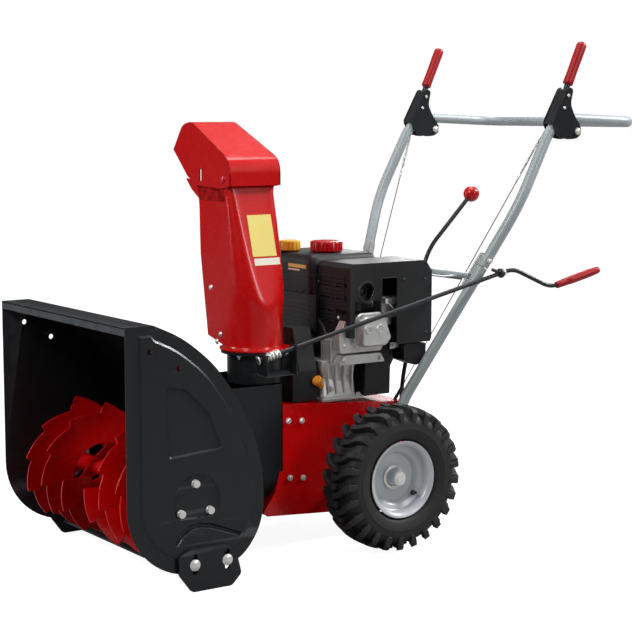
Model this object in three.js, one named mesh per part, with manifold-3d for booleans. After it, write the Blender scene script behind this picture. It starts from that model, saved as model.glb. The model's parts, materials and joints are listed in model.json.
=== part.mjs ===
// Walk-behind two-stage snow blower, in millimetres.
// +Z is up, -Y is the front, +X is the machine's left. Inside this file Y is counted from the wheel axle,
// and the last lines move the whole machine so that its origin is under the middle of its box.
import * as THREE from "three";
import { mergeVertices } from "three/addons/utils/BufferGeometryUtils.js";
import Module from "manifold-3d";

const wasm = await Module();
wasm.setup();

// ---- Driving dimensions ----
const GAP = 0.4; // clearance that touching pieces keep
const SHEET = 3; // thickness of the pressed sheet steel
const WHEEL = { x: 246, z: 163, radius: 163, width: 100, rim: 86 };
const HOUSING = { half: 285, plate: 5, front: -685, top: 550, bottom: 36 };
// The auger's axis, its shaft's radius, and where each half begins and ends along the shaft.
const AUGER = { y: -530, z: 183, shaft: 12.5, inner: 38, outer: 268 };
const BLADE = { inner: 62, outer: 142, thick: 5 }; // radii and thickness of the auger's flights
const DRUM = { half: 112, z: 183, top: 372, rear: -201 }; // impeller housing
const CHUTE = { x: 40, y: -227.5, neck: 62, ring: 79, foot: 445, half: 62.5, top: 806 };
const HOOD = { x: 15, z: 820, half: 65.5 }; // pivot of the deflector and half its width at the pivot
const BODY = { half: 112, front: -200, rear: 140, top: 324, slope: -0.068 };
const ENGINE = { z: 436, front: -88, rear: 15, shroudX: 148 };
const TUBE = 12.5; // radius of the handlebar tube
const BRACE = { x: 200, y: 257, z: 592 };
const PULLEY_Y = -128; // plane of the auger belt
const DRIVE_Y = -106; // plane of the drive belt
const LAYSHAFT_Z = 230; // height of the friction disc and of the pinion shaft
const CRANK_FOOT = new THREE.Vector3(130, -251, 437);
const CRANK_EYE = new THREE.Vector3(243, 313, 599);
const BEND_STEPS = 4; // straight pieces in one rounded corner of a bent bar
const MIDDLE_Y = 21.25; // middle of the machine's box, counted from the axle

// ---- Materials ----
const paint = (color, roughness, metalness = 0) =>
  new THREE.MeshStandardMaterial({ color, roughness, metalness });
const RED = paint(0xc00a0a, 0.25);
const BLACK = paint(0x1d1f20, 0.4);
const PLASTIC = paint(0x26282a, 0.55);
const RUBBER = paint(0x161616, 0.85);
const SILVER = paint(0xa7adb0, 0.35, 0.6);
const STEEL = paint(0x8d9093, 0.35, 0.9);
const CAST = paint(0xb5b3ad, 0.45, 0.8);
const RIM_PAINT = paint(0xd9dbdc, 0.35);
const GRIP = paint(0xb80c10, 0.5);
const YELLOW = paint(0xe3a11b, 0.45);

const machine = new THREE.Group();
const group = new THREE.Group();
group.add(machine);

function add(name, solid, material, parent = machine) {
  const mesh = new THREE.Mesh(geometryOf(solid), material);
  mesh.name = name;
  parent.add(mesh);
  return mesh;
}

// ---- From three.js geometry to solids and back ----
function solidOf(geometry) {
  const bare = new THREE.BufferGeometry();
  bare.setAttribute("position", geometry.getAttribute("position").clone());
  if (geometry.index) bare.setIndex(geometry.index.clone());
  const merged = mergeVertices(bare, 1e-3);
  const solid = new wasm.Manifold(
    new wasm.Mesh({
      numProp: 3,
      vertProperties: merged.attributes.position.array,
      triVerts: new Uint32Array(merged.index.array),
    }),
  );
  return solid;
}

function geometryOf(solid) {
  const mesh = solid.getMesh();
  const geometry = new THREE.BufferGeometry();
  geometry.setAttribute("position", new THREE.BufferAttribute(mesh.vertProperties, 3));
  geometry.setIndex(new THREE.BufferAttribute(mesh.triVerts, 1));
  geometry.computeVertexNormals();
  return geometry;
}

const join = (...solids) => solids.reduce((a, b) => a.add(b));
const cut = (solid, ...tools) => tools.reduce((a, b) => a.subtract(b), solid);

// ---- Basic shapes ----
function box(x, y, z) {
  const g = new THREE.BoxGeometry(x[1] - x[0], y[1] - y[0], z[1] - z[0]);
  g.translate((x[0] + x[1]) / 2, (y[0] + y[1]) / 2, (z[0] + z[1]) / 2);
  return solidOf(g);
}

// A round bar between two points; the second radius makes it a cone.
function bar(from, to, radius, sides = 20, endRadius = radius) {
  const a = new THREE.Vector3(...from);
  const b = new THREE.Vector3(...to);
  const g = new THREE.CylinderGeometry(endRadius, radius, a.distanceTo(b), sides);
  const up = new THREE.Vector3(0, 1, 0);
  g.applyQuaternion(new THREE.Quaternion().setFromUnitVectors(up, b.clone().sub(a).normalize()));
  g.translate((a.x + b.x) / 2, (a.y + b.y) / 2, (a.z + b.z) / 2);
  return solidOf(g);
}

const ball = (centre, radius) =>
  solidOf(new THREE.SphereGeometry(radius, 16, 9).translate(...centre));

const shapeOf = (points) => new THREE.Shape(points.map(([u, v]) => new THREE.Vector2(u, v)));

// A shape drawn in (Y, Z) and extruded along X, one in (X, Z) along Y, and one in (X, Y) along Z.
function alongX(shape, x0, x1, curveSegments = 12) {
  const g = new THREE.ExtrudeGeometry(shape, { depth: x1 - x0, bevelEnabled: false, curveSegments });
  g.applyMatrix4(
    new THREE.Matrix4().makeBasis(
      new THREE.Vector3(0, 1, 0),
      new THREE.Vector3(0, 0, 1),
      new THREE.Vector3(1, 0, 0),
    ),
  );
  return solidOf(g.translate(x0, 0, 0));
}

function alongY(shape, y0, y1, curveSegments = 12) {
  const g = new THREE.ExtrudeGeometry(shape, { depth: y1 - y0, bevelEnabled: false, curveSegments });
  return solidOf(g.rotateX(Math.PI / 2).translate(0, y1, 0));
}

function alongZ(shape, z0, z1, curveSegments = 12) {
  const g = new THREE.ExtrudeGeometry(shape, { depth: z1 - z0, bevelEnabled: false, curveSegments });
  return solidOf(g.translate(0, 0, z0));
}

// A profile of [radius, distance along X] turned about the X axis through (y, z).
function turnedX(profile, y, z, segments = 36) {
  const points = profile.map(([r, h]) => new THREE.Vector2(r, h));
  const g = new THREE.LatheGeometry(points, segments);
  return solidOf(g.rotateZ(-Math.PI / 2).translate(0, y, z));
}

// The points of a line of straight runs joined by rounded corners.
function bentLine(points, cornerRadius) {
  const corners = points.map((p) => new THREE.Vector3(...p));
  const line = [corners[0]];
  for (let i = 1; i < corners.length - 1; i++) {
    const corner = corners[i];
    const back = corners[i - 1].clone().sub(corner);
    const ahead = corners[i + 1].clone().sub(corner);
    const reach = Math.min(cornerRadius, back.length() / 2.01, ahead.length() / 2.01);
    const start = corner.clone().addScaledVector(back.normalize(), reach);
    const end = corner.clone().addScaledVector(ahead.normalize(), reach);
    line.push(...new THREE.QuadraticBezierCurve3(start, corner, end).getPoints(BEND_STEPS));
  }
  return [...line, corners.at(-1)];
}

function circle(radius, sides) {
  const corners = [];
  for (let i = 0; i < sides; i++) {
    const turn = (2 * Math.PI * i) / sides;
    corners.push([radius * Math.cos(turn), radius * Math.sin(turn)]);
  }
  return shapeOf(corners);
}

// A round bar along a line of points: a cylinder whose rings are carried from point to point.
function tube(line, radius, sides = 10) {
  const rows = line.length - 1;
  const g = new THREE.CylinderGeometry(radius, radius, 1, sides, rows);
  const p = g.getAttribute("position");
  const turn = new THREE.Quaternion();
  let heading = new THREE.Vector3(0, -1, 0);
  const rings = line.map((centre, i) => {
    const next = line[Math.min(i + 1, rows)].clone().sub(line[Math.max(i - 1, 0)]).normalize();
    turn.premultiply(new THREE.Quaternion().setFromUnitVectors(heading, next));
    heading = next;
    return { centre, turn: turn.clone() };
  });
  for (let i = 0; i < p.count; i++) {
    const ring = rings[Math.round((0.5 - p.getY(i)) * rows)];
    const at = new THREE.Vector3(p.getX(i), 0, p.getZ(i)).applyQuaternion(ring.turn).add(ring.centre);
    p.setXYZ(i, at.x, at.y, at.z);
  }
  return solidOf(g);
}

// A thin wall that follows a line of [u, v] points, its thickness on the line's left side.
function wallShape(points, thickness) {
  const inner = points.map((p, i) => {
    const a = points[Math.max(i - 1, 0)];
    const b = points[Math.min(i + 1, points.length - 1)];
    const length = Math.hypot(b[0] - a[0], b[1] - a[1]);
    return [p[0] - (thickness * (b[1] - a[1])) / length, p[1] + (thickness * (b[0] - a[0])) / length];
  });
  return shapeOf([...points, ...inner.reverse()]);
}

const mirrorX = (solid) => solid.mirror([1, 0, 0]);

// ---- Auger housing ----
const HOUSING_BACK = [
  [-620, HOUSING.top],
  [-556, 519],
  [-491, 468],
  [-446, 413],
  [-408, 351],
  [-378, 274],
  [-365, 190],
  [-369, 135],
  [-389, 89],
  [-429, 51],
  [-500, HOUSING.bottom],
];

function housingBackPoints(steps) {
  const curve = new THREE.SplineCurve(HOUSING_BACK.map((p) => new THREE.Vector2(...p)));
  return curve.getSpacedPoints(steps).map((p) => [p.x, p.y]);
}

// The side plate's outline in (Y, Z): the rolled back, and the round front corner of the sole.
function housingOutline() {
  const outline = new THREE.Shape();
  outline.moveTo(HOUSING.front, HOUSING.top);
  for (const [y, z] of housingBackPoints(18)) outline.lineTo(y, z);
  outline.absarc(AUGER.y - 5, AUGER.z + 3, 150, -Math.PI / 2, -Math.PI, true);
  return outline;
}

function sidePlate() {
  const plate = alongX(housingOutline(), HOUSING.half + GAP, HOUSING.half + HOUSING.plate, 10);
  const through = (y, z, radius) => bar([HOUSING.half - 5, y, z], [HOUSING.half + 10, y, z], radius, 8);
  return cut(
    plate,
    ...BEARING_BOLTS.map(([y, z]) => through(y, z, 4.6)),
    ...SKID_BOLTS.map(([y, z]) => through(y, z, 5.6)),
    through(-632, 499, 6),
    through(-567, 461, 6),
    through(AUGER.y, AUGER.z, 6),
  );
}

const BEARING_BOLTS = [90, 210, 330].map((degrees) => {
  const turn = (degrees * Math.PI) / 180;
  return [AUGER.y + 39 * Math.cos(turn), AUGER.z + 39 * Math.sin(turn)];
});
const SKID_BOLTS = [
  [-537, 56],
  [-460, 56],
];

function augerHousing() {
  const back = [[HOUSING.front, HOUSING.top], ...housingBackPoints(18), [-535, 36]];
  const sheet = alongX(wallShape(back.reverse(), SHEET), -HOUSING.half, HOUSING.half);
  const mouth = bar([0, -480, AUGER.z], [0, -330, AUGER.z], 100, 22);
  return cut(sheet, mouth);
}

function scraperBar() {
  return box([-HOUSING.half + 2, HOUSING.half - 2], [-548, -502], [29, 34.5]);
}

function skid() {
  const outline = shapeOf([
    [-573, 39],
    [-545, 2],
    [-539, 0],
    [-449, 0],
    [-426, 23],
    [-433, 51],
    [-439, 74],
    [-467, 90],
    [-545, 90],
    [-574, 76],
  ]);
  const outside = HOUSING.half + HOUSING.plate + GAP;
  const plate = alongX(outline, outside, outside + 7);
  const slots = SKID_BOLTS.map(([y]) => box([outside - 5, outside + 12], [y - 6, y + 6], [36, 79]));
  const bolts = SKID_BOLTS.map(([y, z]) =>
    join(
      bar([outside + 5, y, z], [outside + 12, y, z], 10, 12),
      bar([HOUSING.half - 12, y, z], [outside + 6, y, z], 5, 12),
      bar([HOUSING.half - 12, y, z], [HOUSING.half - 6, y, z], 9, 6),
    ),
  );
  return join(cut(plate, ...slots), ...bolts);
}

function augerBearing() {
  const inside = HOUSING.half - GAP;
  const outside = HOUSING.half + HOUSING.plate;
  const flange = bar([inside - 9, AUGER.y, AUGER.z], [inside, AUGER.y, AUGER.z], 50, 16);
  const bore = bar([inside - 30, AUGER.y, AUGER.z], [inside - 2, AUGER.y, AUGER.z], AUGER.shaft + 0.5, 14);
  const bolts = BEARING_BOLTS.map(([y, z]) =>
    join(
      bar([inside - 4, y, z], [outside + 3, y, z], 4, 10),
      bar([outside + GAP, y, z], [outside + 6, y, z], 8, 12),
    ),
  );
  return join(cut(flange, bore), ...bolts);
}

// ---- Auger, gearbox and impeller ----
function augerShaft() {
  const end = HOUSING.half - 3;
  return bar([-end, AUGER.y, AUGER.z], [end, AUGER.y, AUGER.z], AUGER.shaft, 14);
}

// A ribbon wound about the auger's axis: a flat box bent round it.
function ribbon(x0, x1, start, turns) {
  const g = new THREE.BoxGeometry(1, 1, 1, 20, 1, 1);
  const p = g.getAttribute("position");
  for (let i = 0; i < p.count; i++) {
    const along = p.getX(i) + 0.5;
    const radius = THREE.MathUtils.lerp(BLADE.inner, BLADE.outer, p.getY(i) + 0.5);
    const turn = start + 2 * Math.PI * turns * along;
    const x = x0 + (x1 - x0) * along - BLADE.thick * p.getZ(i);
    p.setXYZ(i, x, AUGER.y + radius * Math.cos(turn), AUGER.z + radius * Math.sin(turn));
  }
  return solidOf(g);
}

function augerHalf() {
  const turns = 1.25;
  const inset = 12;
  const length = AUGER.outer - AUGER.inner - 2 * inset;
  const pieces = [
    cut(
      bar([AUGER.inner, AUGER.y, AUGER.z], [AUGER.outer, AUGER.y, AUGER.z], 19, 14),
      bar([AUGER.inner - 5, AUGER.y, AUGER.z], [AUGER.outer + 5, AUGER.y, AUGER.z], 13, 14),
    ),
  ];
  for (const start of [0, Math.PI]) {
    pieces.push(ribbon(AUGER.inner + inset, AUGER.outer - inset, start, turns));
    for (const share of [0.06, 0.5, 0.94]) {
      const turned = 360 * turns * share + THREE.MathUtils.radToDeg(start);
      const spoke = box([-2.5, 2.5], [16, 72], [-14, 14]).rotate([turned, 0, 0]);
      pieces.push(spoke.translate([AUGER.inner + inset + length * share, AUGER.y, AUGER.z]));
    }
  }
  return join(...pieces);
}

function gearbox() {
  const at = [AUGER.y, AUGER.z];
  const caseBody = join(
    bar([-24, ...at], [24, ...at], 44, 20),
    bar([-34, ...at], [34, ...at], 24, 16),
    bar([0, AUGER.y, AUGER.z], [0, -428, AUGER.z], 22, 16),
  );
  return cut(
    caseBody,
    bar([-40, ...at], [40, ...at], AUGER.shaft + 0.5, 14),
    bar([0, -503, AUGER.z], [0, -420, AUGER.z], 10.6, 14),
  );
}

function impellerShaft() {
  const z = AUGER.z;
  const groove = (y) =>
    join(
      bar([0, y - 8, z], [0, y, z], 76, 24, 66),
      bar([0, y, z], [0, y + 8, z], 66, 24, 76),
    );
  return join(bar([0, -500, z], [0, PULLEY_Y + 12, z], 10, 14), groove(PULLEY_Y));
}

function impeller() {
  const pieces = [bar([0, -352, AUGER.z], [0, -232, AUGER.z], 20, 24)];
  for (let i = 0; i < 4; i++) {
    const blade = box([-2.5, 2.5], [-345, -238], [10, 98]).rotate([0, 90 * i + 45, 0]);
    pieces.push(blade.translate([0, 0, AUGER.z]));
  }
  return cut(join(...pieces), bar([0, -360, AUGER.z], [0, -225, AUGER.z], 10.4, 14));
}

// ---- Impeller housing with the neck that carries the chute ----
function drumShape(half, top) {
  const shape = new THREE.Shape();
  shape.moveTo(half, top);
  shape.lineTo(-half, top);
  shape.lineTo(-half, DRUM.z);
  shape.absarc(0, DRUM.z, half, Math.PI, 2 * Math.PI, false);
  return shape;
}

function impellerHousing() {
  const neck = (radius, z0, z1) => bar([CHUTE.x, CHUTE.y, z0], [CHUTE.x, CHUTE.y, z1], radius, 28);
  const outer = join(
    alongY(drumShape(DRUM.half, DRUM.top), -470, DRUM.rear, 14),
    box([CHUTE.x - 68, DRUM.half], [-300, CHUTE.y + 66], [328, DRUM.top]),
    neck(CHUTE.neck, 340, CHUTE.foot - 2),
    neck(CHUTE.ring - 3, CHUTE.foot - 8, CHUTE.foot - GAP),
  );
  const inner = join(
    alongY(drumShape(DRUM.half - SHEET, DRUM.top - SHEET), -480, DRUM.rear - SHEET, 14),
    box([CHUTE.x - 65, DRUM.half - SHEET], [-300, CHUTE.y + 63], [331, DRUM.top - SHEET]),
    neck(CHUTE.neck - SHEET, 340, CHUTE.foot + 5),
  );
  const housing = alongX(housingOutline(), -300, 300, 10);
  const grown = housing.translate([0, GAP, GAP]).add(housing.translate([0, GAP, -GAP]));
  const shaft = bar([0, DRUM.rear - 10, AUGER.z], [0, DRUM.rear + 5, AUGER.z], 12, 14);
  return cut(outer, inner, grown, shaft);
}

// ---- Discharge chute: a channel that is round at its foot and square at its head ----
function chuteSection(height) {
  const t = THREE.MathUtils.clamp((height - 545) / (CHUTE.top - 545), 0, 1);
  const rise = THREE.MathUtils.clamp((height - CHUTE.foot) / (CHUTE.top - CHUTE.foot), 0, 1);
  return {
    back: THREE.MathUtils.lerp(CHUTE.x + CHUTE.half, 30, t),
    front: THREE.MathUtils.lerp(-54, -112, rise),
    corner: THREE.MathUtils.lerp(CHUTE.half - 1, 14, Math.sqrt(t)),
  };
}

// Half the channel's width: near the head its walls close in towards the mouth, inside the hood's.
function chuteHalf(x, height) {
  const head = THREE.MathUtils.clamp((height - 650) / (755 - 650), 0, 1);
  return THREE.MathUtils.lerp(CHUTE.half, hoodHalf(x) - SHEET - GAP, head);
}

// A point on the channel's wall: side from 0 (near mouth edge) round the back to 1 (far mouth edge).
function chuteWall(side, height, inset) {
  const { back, front, corner } = chuteSection(height);
  const sign = side <= 0.5 ? -1 : 1;
  const s = side <= 0.5 ? side * 2 : (1 - side) * 2;
  const centre = back - corner;
  if (s < 0.3) {
    const x = THREE.MathUtils.lerp(front, centre, s / 0.3);
    return [x, CHUTE.y + sign * (chuteHalf(x, height) - inset)];
  }
  const half = chuteHalf(centre, height);
  if (s < 0.9) {
    const turn = ((s - 0.3) / 0.6) * (Math.PI / 2);
    const y = half - corner + (corner - inset) * Math.cos(turn);
    return [centre + (corner - inset) * Math.sin(turn), CHUTE.y + sign * y];
  }
  return [back - inset, CHUTE.y + sign * (half - corner) * (1 - (s - 0.9) / 0.1)];
}

function chute() {
  const g = new THREE.BoxGeometry(1, 1, 1, 20, 7, 1);
  const p = g.getAttribute("position");
  for (let i = 0; i < p.count; i++) {
    const side = p.getX(i) + 0.5;
    const rise = p.getY(i) + 0.5;
    const mouth = 1 - Math.min(Math.min(side, 1 - side) / 0.15, 1);
    const height = THREE.MathUtils.lerp(CHUTE.foot + 24 * mouth, CHUTE.top, rise);
    const [x, y] = chuteWall(side, height, p.getZ(i) > 0 ? 0 : 2.5);
    p.setXYZ(i, x, y, height);
  }
  const disc = (radius, z0, z1) => bar([CHUTE.x, CHUTE.y, z0], [CHUTE.x, CHUTE.y, z1], radius, 22);
  const ring = cut(
    disc(CHUTE.ring, CHUTE.foot, CHUTE.foot + 4),
    disc(CHUTE.neck - 3, CHUTE.foot - 5, CHUTE.foot + 9),
  );
  const ear = shapeOf([
    [-100, 770],
    [-141, 792],
    [-170, 817],
    [-18, 806],
    [HOOD.x - 14, HOOD.z + 10],
    [HOOD.x + 12, HOOD.z + 8],
    [26, 800],
    [20, 770],
  ]);
  const ears = [-1, 1].map((side) =>
    alongY(ear, 0, 1).warp((v) => {
      const depth = side < 0 ? v[1] : 1 - v[1];
      v[1] = CHUTE.y + side * (chuteHalf(v[0], CHUTE.top) - 2.5 * depth);
    }),
  );
  return join(solidOf(g), ring, ...ears);
}

// ---- Deflector hood ----
const HOOD_SIDE = [
  [45, 806],
  [45, 844],
  [35, 866],
  [-135, 946],
  [-176, 938],
  [-222, 881],
  [-153, 822],
  [-112, 803],
  [0, 799],
];
const hoodHalf = (x) => THREE.MathUtils.mapLinear(x, 45, -222, HOOD.half, 52);

// An outline extruded across the machine, then narrowed towards the hood's mouth.
function hoodBlock(outline, wider) {
  const wide = alongY(shapeOf(outline), -1, 1);
  return wide.warp((v) => {
    v[1] = CHUTE.y + v[1] * (hoodHalf(v[0]) + wider);
  });
}

function hood() {
  const block = hoodBlock(HOOD_SIDE, 1);
  const hollow = hoodBlock(
    [
      [42, 780],
      [42, 843],
      [33, 863],
      [-134, 942],
      [-175, 934],
      [-240, 850],
      [-240, 780],
    ],
    1 - SHEET,
  );
  const slot = box([-94, -86], [-400, 0], [812, 840]);
  const rivetEnd = (side, out) => [HOOD.x, CHUTE.y + side * (HOOD.half + out), HOOD.z];
  const pivots = [-1, 1].map((side) => bar(rivetEnd(side, -2), rivetEnd(side, 5), 6, 12));
  return join(cut(block, hollow, slot), ...pivots);
}

// ---- Chute crank ----
const crankAxis = CRANK_EYE.clone().sub(CRANK_FOOT).normalize();
const onCrank = (t) => CRANK_FOOT.clone().addScaledVector(crankAxis, t);
const crankDown = new THREE.Vector3(-0.05, 0, -1);
const crankDrop = crankDown.addScaledVector(crankAxis, -crankDown.dot(crankAxis)).normalize();
const offCrank = (t, drop) => onCrank(t).addScaledVector(crankDrop, drop);
const CRANK_LENGTH = CRANK_EYE.distanceTo(CRANK_FOOT);
const CRANK_DROP = 74;

function crankRod() {
  const bends = [
    onCrank(-25),
    onCrank(CRANK_LENGTH + 34),
    offCrank(CRANK_LENGTH + 120, CRANK_DROP),
    offCrank(CRANK_LENGTH + 244, CRANK_DROP),
  ].map((p) => p.toArray());
  const collar = (from, to, radius) => bar(onCrank(from).toArray(), onCrank(to).toArray(), radius, 12);
  return join(
    tube(bentLine(bends, 22), 5, 10),
    collar(-7, 29, 11),
    collar(-24, -21.5, 9),
    collar(CRANK_LENGTH + 7, CRANK_LENGTH + 11, 9),
  );
}

function crankGrip() {
  const from = offCrank(CRANK_LENGTH + 136, CRANK_DROP).toArray();
  const to = offCrank(CRANK_LENGTH + 256, CRANK_DROP).toArray();
  const boreEnd = offCrank(CRANK_LENGTH + 247, CRANK_DROP).toArray();
  return cut(
    bar(from, to, 10, 10),
    bar(offCrank(CRANK_LENGTH + 130, CRANK_DROP).toArray(), boreEnd, 5.5, 12),
  );
}

function crankEye() {
  const ringFrom = onCrank(CRANK_LENGTH - 5).toArray();
  const ringTo = onCrank(CRANK_LENGTH + 5).toArray();
  const stud = bar([236.5, 292.5, 608], [242, 306.5, 602], 4, 10);
  const hole = bar(onCrank(CRANK_LENGTH - 16).toArray(), onCrank(CRANK_LENGTH + 9).toArray(), 5.8, 10);
  return cut(join(bar(ringFrom, ringTo, 11, 10), stud), hole);
}

function crankBracket() {
  const floor = box([96, 150], [-268, -188], [396, 399]);
  const frontTab = box([118, 150], [-266, -263], [396, 444]);
  const rearTab = box([129, 156], [-193, -190], [396, 462]);
  const rodHole = bar(onCrank(-40).toArray(), onCrank(90).toArray(), 7, 10);
  const neck = bar([CHUTE.x, CHUTE.y, 380], [CHUTE.x, CHUTE.y, 410], CHUTE.neck + GAP, 28);
  return cut(join(floor, frontTab, rearTab), rodHole, neck);
}

// ---- Tractor body ----
const bodyTop = (y) => BODY.top + BODY.slope * (y - BODY.front);

function bodySide(inset) {
  return shapeOf([
    [BODY.front + inset, bodyTop(BODY.front) - inset],
    [-209 + inset, 178],
    [-222 + inset, 129],
    [-252 + inset, 88],
    [-243 + inset, 78 - 3 * inset],
    [BODY.rear - inset, 50 - 3 * inset],
    [BODY.rear - inset, bodyTop(BODY.rear) - inset],
  ]);
}

function tractorBody() {
  const shell = cut(
    alongX(bodySide(0), -BODY.half, BODY.half),
    alongX(bodySide(SHEET), -BODY.half + SHEET, BODY.half - SHEET),
  );
  const drum = alongY(drumShape(DRUM.half + GAP, 500), -300, DRUM.rear + GAP, 14);
  const holes = [
    bar([-150, 0, WHEEL.z], [150, 0, WHEEL.z], 12, 10),
    bar([-109.2, 0, LAYSHAFT_Z], [109.2, 0, LAYSHAFT_Z], 10, 12),
    bar([0, -230, AUGER.z], [0, -180, AUGER.z], 13, 10),
    box([-72, 72], [-140, -94], [280, 340]),
  ];
  const boltHoles = HANDLE_BOLTS.map(([y, z]) => bar([-150, y, z], [150, y, z], 5.8, 8));
  const cableHoles = [-1, 1].map((side) => bar([side * 98, 131, 318], [side * 90, 115, 286], 5, 10));
  return cut(shell, ...holes, ...boltHoles, ...cableHoles, drum);
}

function beltCover() {
  const foot = bodyTop(-160) + 0.5;
  const outline = (inset) =>
    shapeOf([
      [-76 + inset, foot - 20 * inset],
      [90 - inset, foot - 20 * inset],
      [90 - inset, 391 - inset],
      [62 - inset, 486 - inset],
      [-52 + inset, 486 - inset],
      [-76 + inset, 391 - inset],
    ]);
  const low = alongY(outline(0), -160, -94).intersect(box([-200, 200], [-200, 0], [250, 392]));
  const high = alongY(outline(0), -142, -94);
  const lowIn = alongY(outline(SHEET), -157, -80).intersect(box([-200, 200], [-200, 0], [200, 389]));
  const highIn = alongY(outline(SHEET), -139, -80);
  return cut(join(low, high), lowIn, highIn);
}

// ---- Running gear ----
function axle() {
  const end = WHEEL.x + 34;
  return bar([-end, 0, WHEEL.z], [end, 0, WHEEL.z], 9.5, 10);
}

function tyre() {
  const half = WHEEL.width / 2;
  const r = WHEEL.radius;
  const bead = WHEEL.rim + GAP;
  return turnedX(
    [
      [bead, WHEEL.x - 38],
      [bead, WHEEL.x + 38],
      [r - 52, WHEEL.x + half - 2],
      [r - 26, WHEEL.x + half],
      [r - 9, WHEEL.x + half - 6],
      [r, WHEEL.x + half - 22],
      [r, WHEEL.x - half + 22],
      [r - 9, WHEEL.x - half + 6],
      [r - 26, WHEEL.x - half],
      [r - 52, WHEEL.x - half + 2],
      [bead, WHEEL.x - 38],
    ].reverse(),
    0,
    WHEEL.z,
    32,
  );
}

function rim() {
  const r = WHEEL.rim;
  return turnedX(
    [
      [9.9, WHEEL.x - 30],
      [24, WHEEL.x - 30],
      [24, WHEEL.x + 2],
      [52, WHEEL.x + 2],
      [66, WHEEL.x - 8],
      [r - 12, WHEEL.x - 32],
      [r, WHEEL.x - 40],
      [r, WHEEL.x + 44],
      [r - 4, WHEEL.x + 44],
      [r - 14, WHEEL.x + 20],
      [56, WHEEL.x + 8],
      [24, WHEEL.x + 10],
      [22, WHEEL.x + 30],
      [9.9, WHEEL.x + 30],
      [9.9, WHEEL.x - 30],
    ],
    0,
    WHEEL.z,
    24,
  );
}

function axleGear() {
  const gear = bar([60, 0, WHEEL.z], [72, 0, WHEEL.z], 50, 24);
  return cut(gear, bar([50, 0, WHEEL.z], [80, 0, WHEEL.z], 9.9, 10));
}

function pinionShaft() {
  return join(
    bar([-106, 0, LAYSHAFT_Z], [106, 0, LAYSHAFT_Z], 8, 6),
    bar([58, 0, LAYSHAFT_Z], [74, 0, LAYSHAFT_Z], 16, 12),
  );
}

function frictionWheel() {
  const disc = bar([24, 0, LAYSHAFT_Z], [36, 0, LAYSHAFT_Z], 55, 24);
  const hub = bar([14, 0, LAYSHAFT_Z], [46, 0, LAYSHAFT_Z], 16, 12);
  return cut(join(disc, hub), bar([0, 0, LAYSHAFT_Z], [60, 0, LAYSHAFT_Z], 8.5, 12));
}

function frictionDisc() {
  const z = LAYSHAFT_Z;
  return join(
    bar([0, -62, z], [0, -56, z], 70, 24),
    bar([0, -114, z], [0, -58, z], 9, 10),
    bar([0, DRIVE_Y - 6, z], [0, DRIVE_Y, z], 50, 24, 42),
    bar([0, DRIVE_Y, z], [0, DRIVE_Y + 6, z], 42, 24, 50),
  );
}

function enginePulley() {
  const z = ENGINE.z;
  const groove = (y, radius) =>
    join(
      bar([0, y - 7, z], [0, y, z], radius, 18, radius - 8),
      bar([0, y, z], [0, y + 7, z], radius - 8, 18, radius),
    );
  return join(
    bar([0, PULLEY_Y - 9, z], [0, ENGINE.front - GAP, z], 9.5, 10),
    groove(PULLEY_Y, 34),
    groove(DRIVE_Y, 28),
  );
}

// A flat loop round two pulleys that sit one above the other.
function belt(y, low, lowRadius, high, highRadius) {
  const loop = (grow) => {
    const shape = new THREE.Shape();
    shape.absarc(0, low, lowRadius + grow, Math.PI, 2 * Math.PI, false);
    shape.absarc(0, high, highRadius + grow, 0, Math.PI, false);
    return shape;
  };
  return cut(alongY(loop(8), y - 4, y + 4, 9), alongY(loop(0), y - 10, y + 10, 9));
}

// ---- Engine ----
function crankcase() {
  const foot = bodyTop(ENGINE.front) + 1;
  const fins = [66, 78, 90].map((x) => box([x, x + 5], [-66, 29], [398, 462]));
  const solid = join(
    box([-78, 95], [ENGINE.front, ENGINE.rear], [foot + 6, 410]),
    box([-86, 104], [ENGINE.front, ENGINE.rear + 12], [foot, foot + 8]),
    bar([0, ENGINE.front, ENGINE.z], [0, ENGINE.rear, ENGINE.z], 32, 14),
    bar([0, -52, ENGINE.z], [0, ENGINE.rear, ENGINE.z], 68, 20),
    box([40, 104], [-54, 12], [400, 462]),
    box([60, 104], [-38, 12], [400, 500]),
    box([98, 106], [-66, 29], [398, 462]),
    ...fins,
  );
  const shroudFront = box([23, 110], [-200, -40.6], [463.6, 600]);
  return cut(solid, shroudFront, bar([0, -150, ENGINE.z], [0, -40, ENGINE.z], 10.5, 10));
}

function valveCover() {
  return join(
    box([106 + GAP, 138], [-66, 62], [402, 424]),
    box([106 + GAP, 134], [-56, 52], [402, 462]),
    box([106 + GAP, 134], [-38, 52], [402, 508]),
    box([130, 166], [-27, 51], [450, 514]),
  );
}

function blowerHousing() {
  const z = ENGINE.z;
  const outline = new THREE.Shape();
  outline.moveTo(-100, 320);
  outline.lineTo(100, 320);
  outline.lineTo(104, z);
  outline.absarc(0, z, 104, 0, Math.PI, false);
  const cover = join(
    alongY(outline, ENGINE.rear + 16, 104, 14),
    bar([0, 103, z], [0, 134, z], 86, 22),
  );
  return cut(cover, bar([-50, 118, 492], [-50, 140, 492], 8, 12));
}

function recoilGrip() {
  return join(
    bar([-50, 119, 492], [-50, 146, 492], 6, 12),
    bar([-78, 152, 492], [-22, 152, 492], 9, 10),
  );
}

function fuelTank() {
  const outline = new THREE.Shape();
  outline.moveTo(-190, -40);
  outline.absarc(-170, -40, 20, Math.PI, 1.5 * Math.PI, false);
  outline.lineTo(20, -60);
  outline.lineTo(20, 128);
  outline.lineTo(-170, 128);
  outline.absarc(-170, 108, 20, 0.5 * Math.PI, Math.PI, false);
  const tank = alongZ(outline, 546, 643, 5);
  const necks = [
    bar([-45, 26, 640], [-45, 26, 652], 24, 16),
    bar([-115, -30, 640], [-115, -30, 650], 15, 14),
  ];
  const skirt = box([-110, 16], [-60, -54], [470, 550]);
  return join(tank, skirt, ...necks);
}

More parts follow.
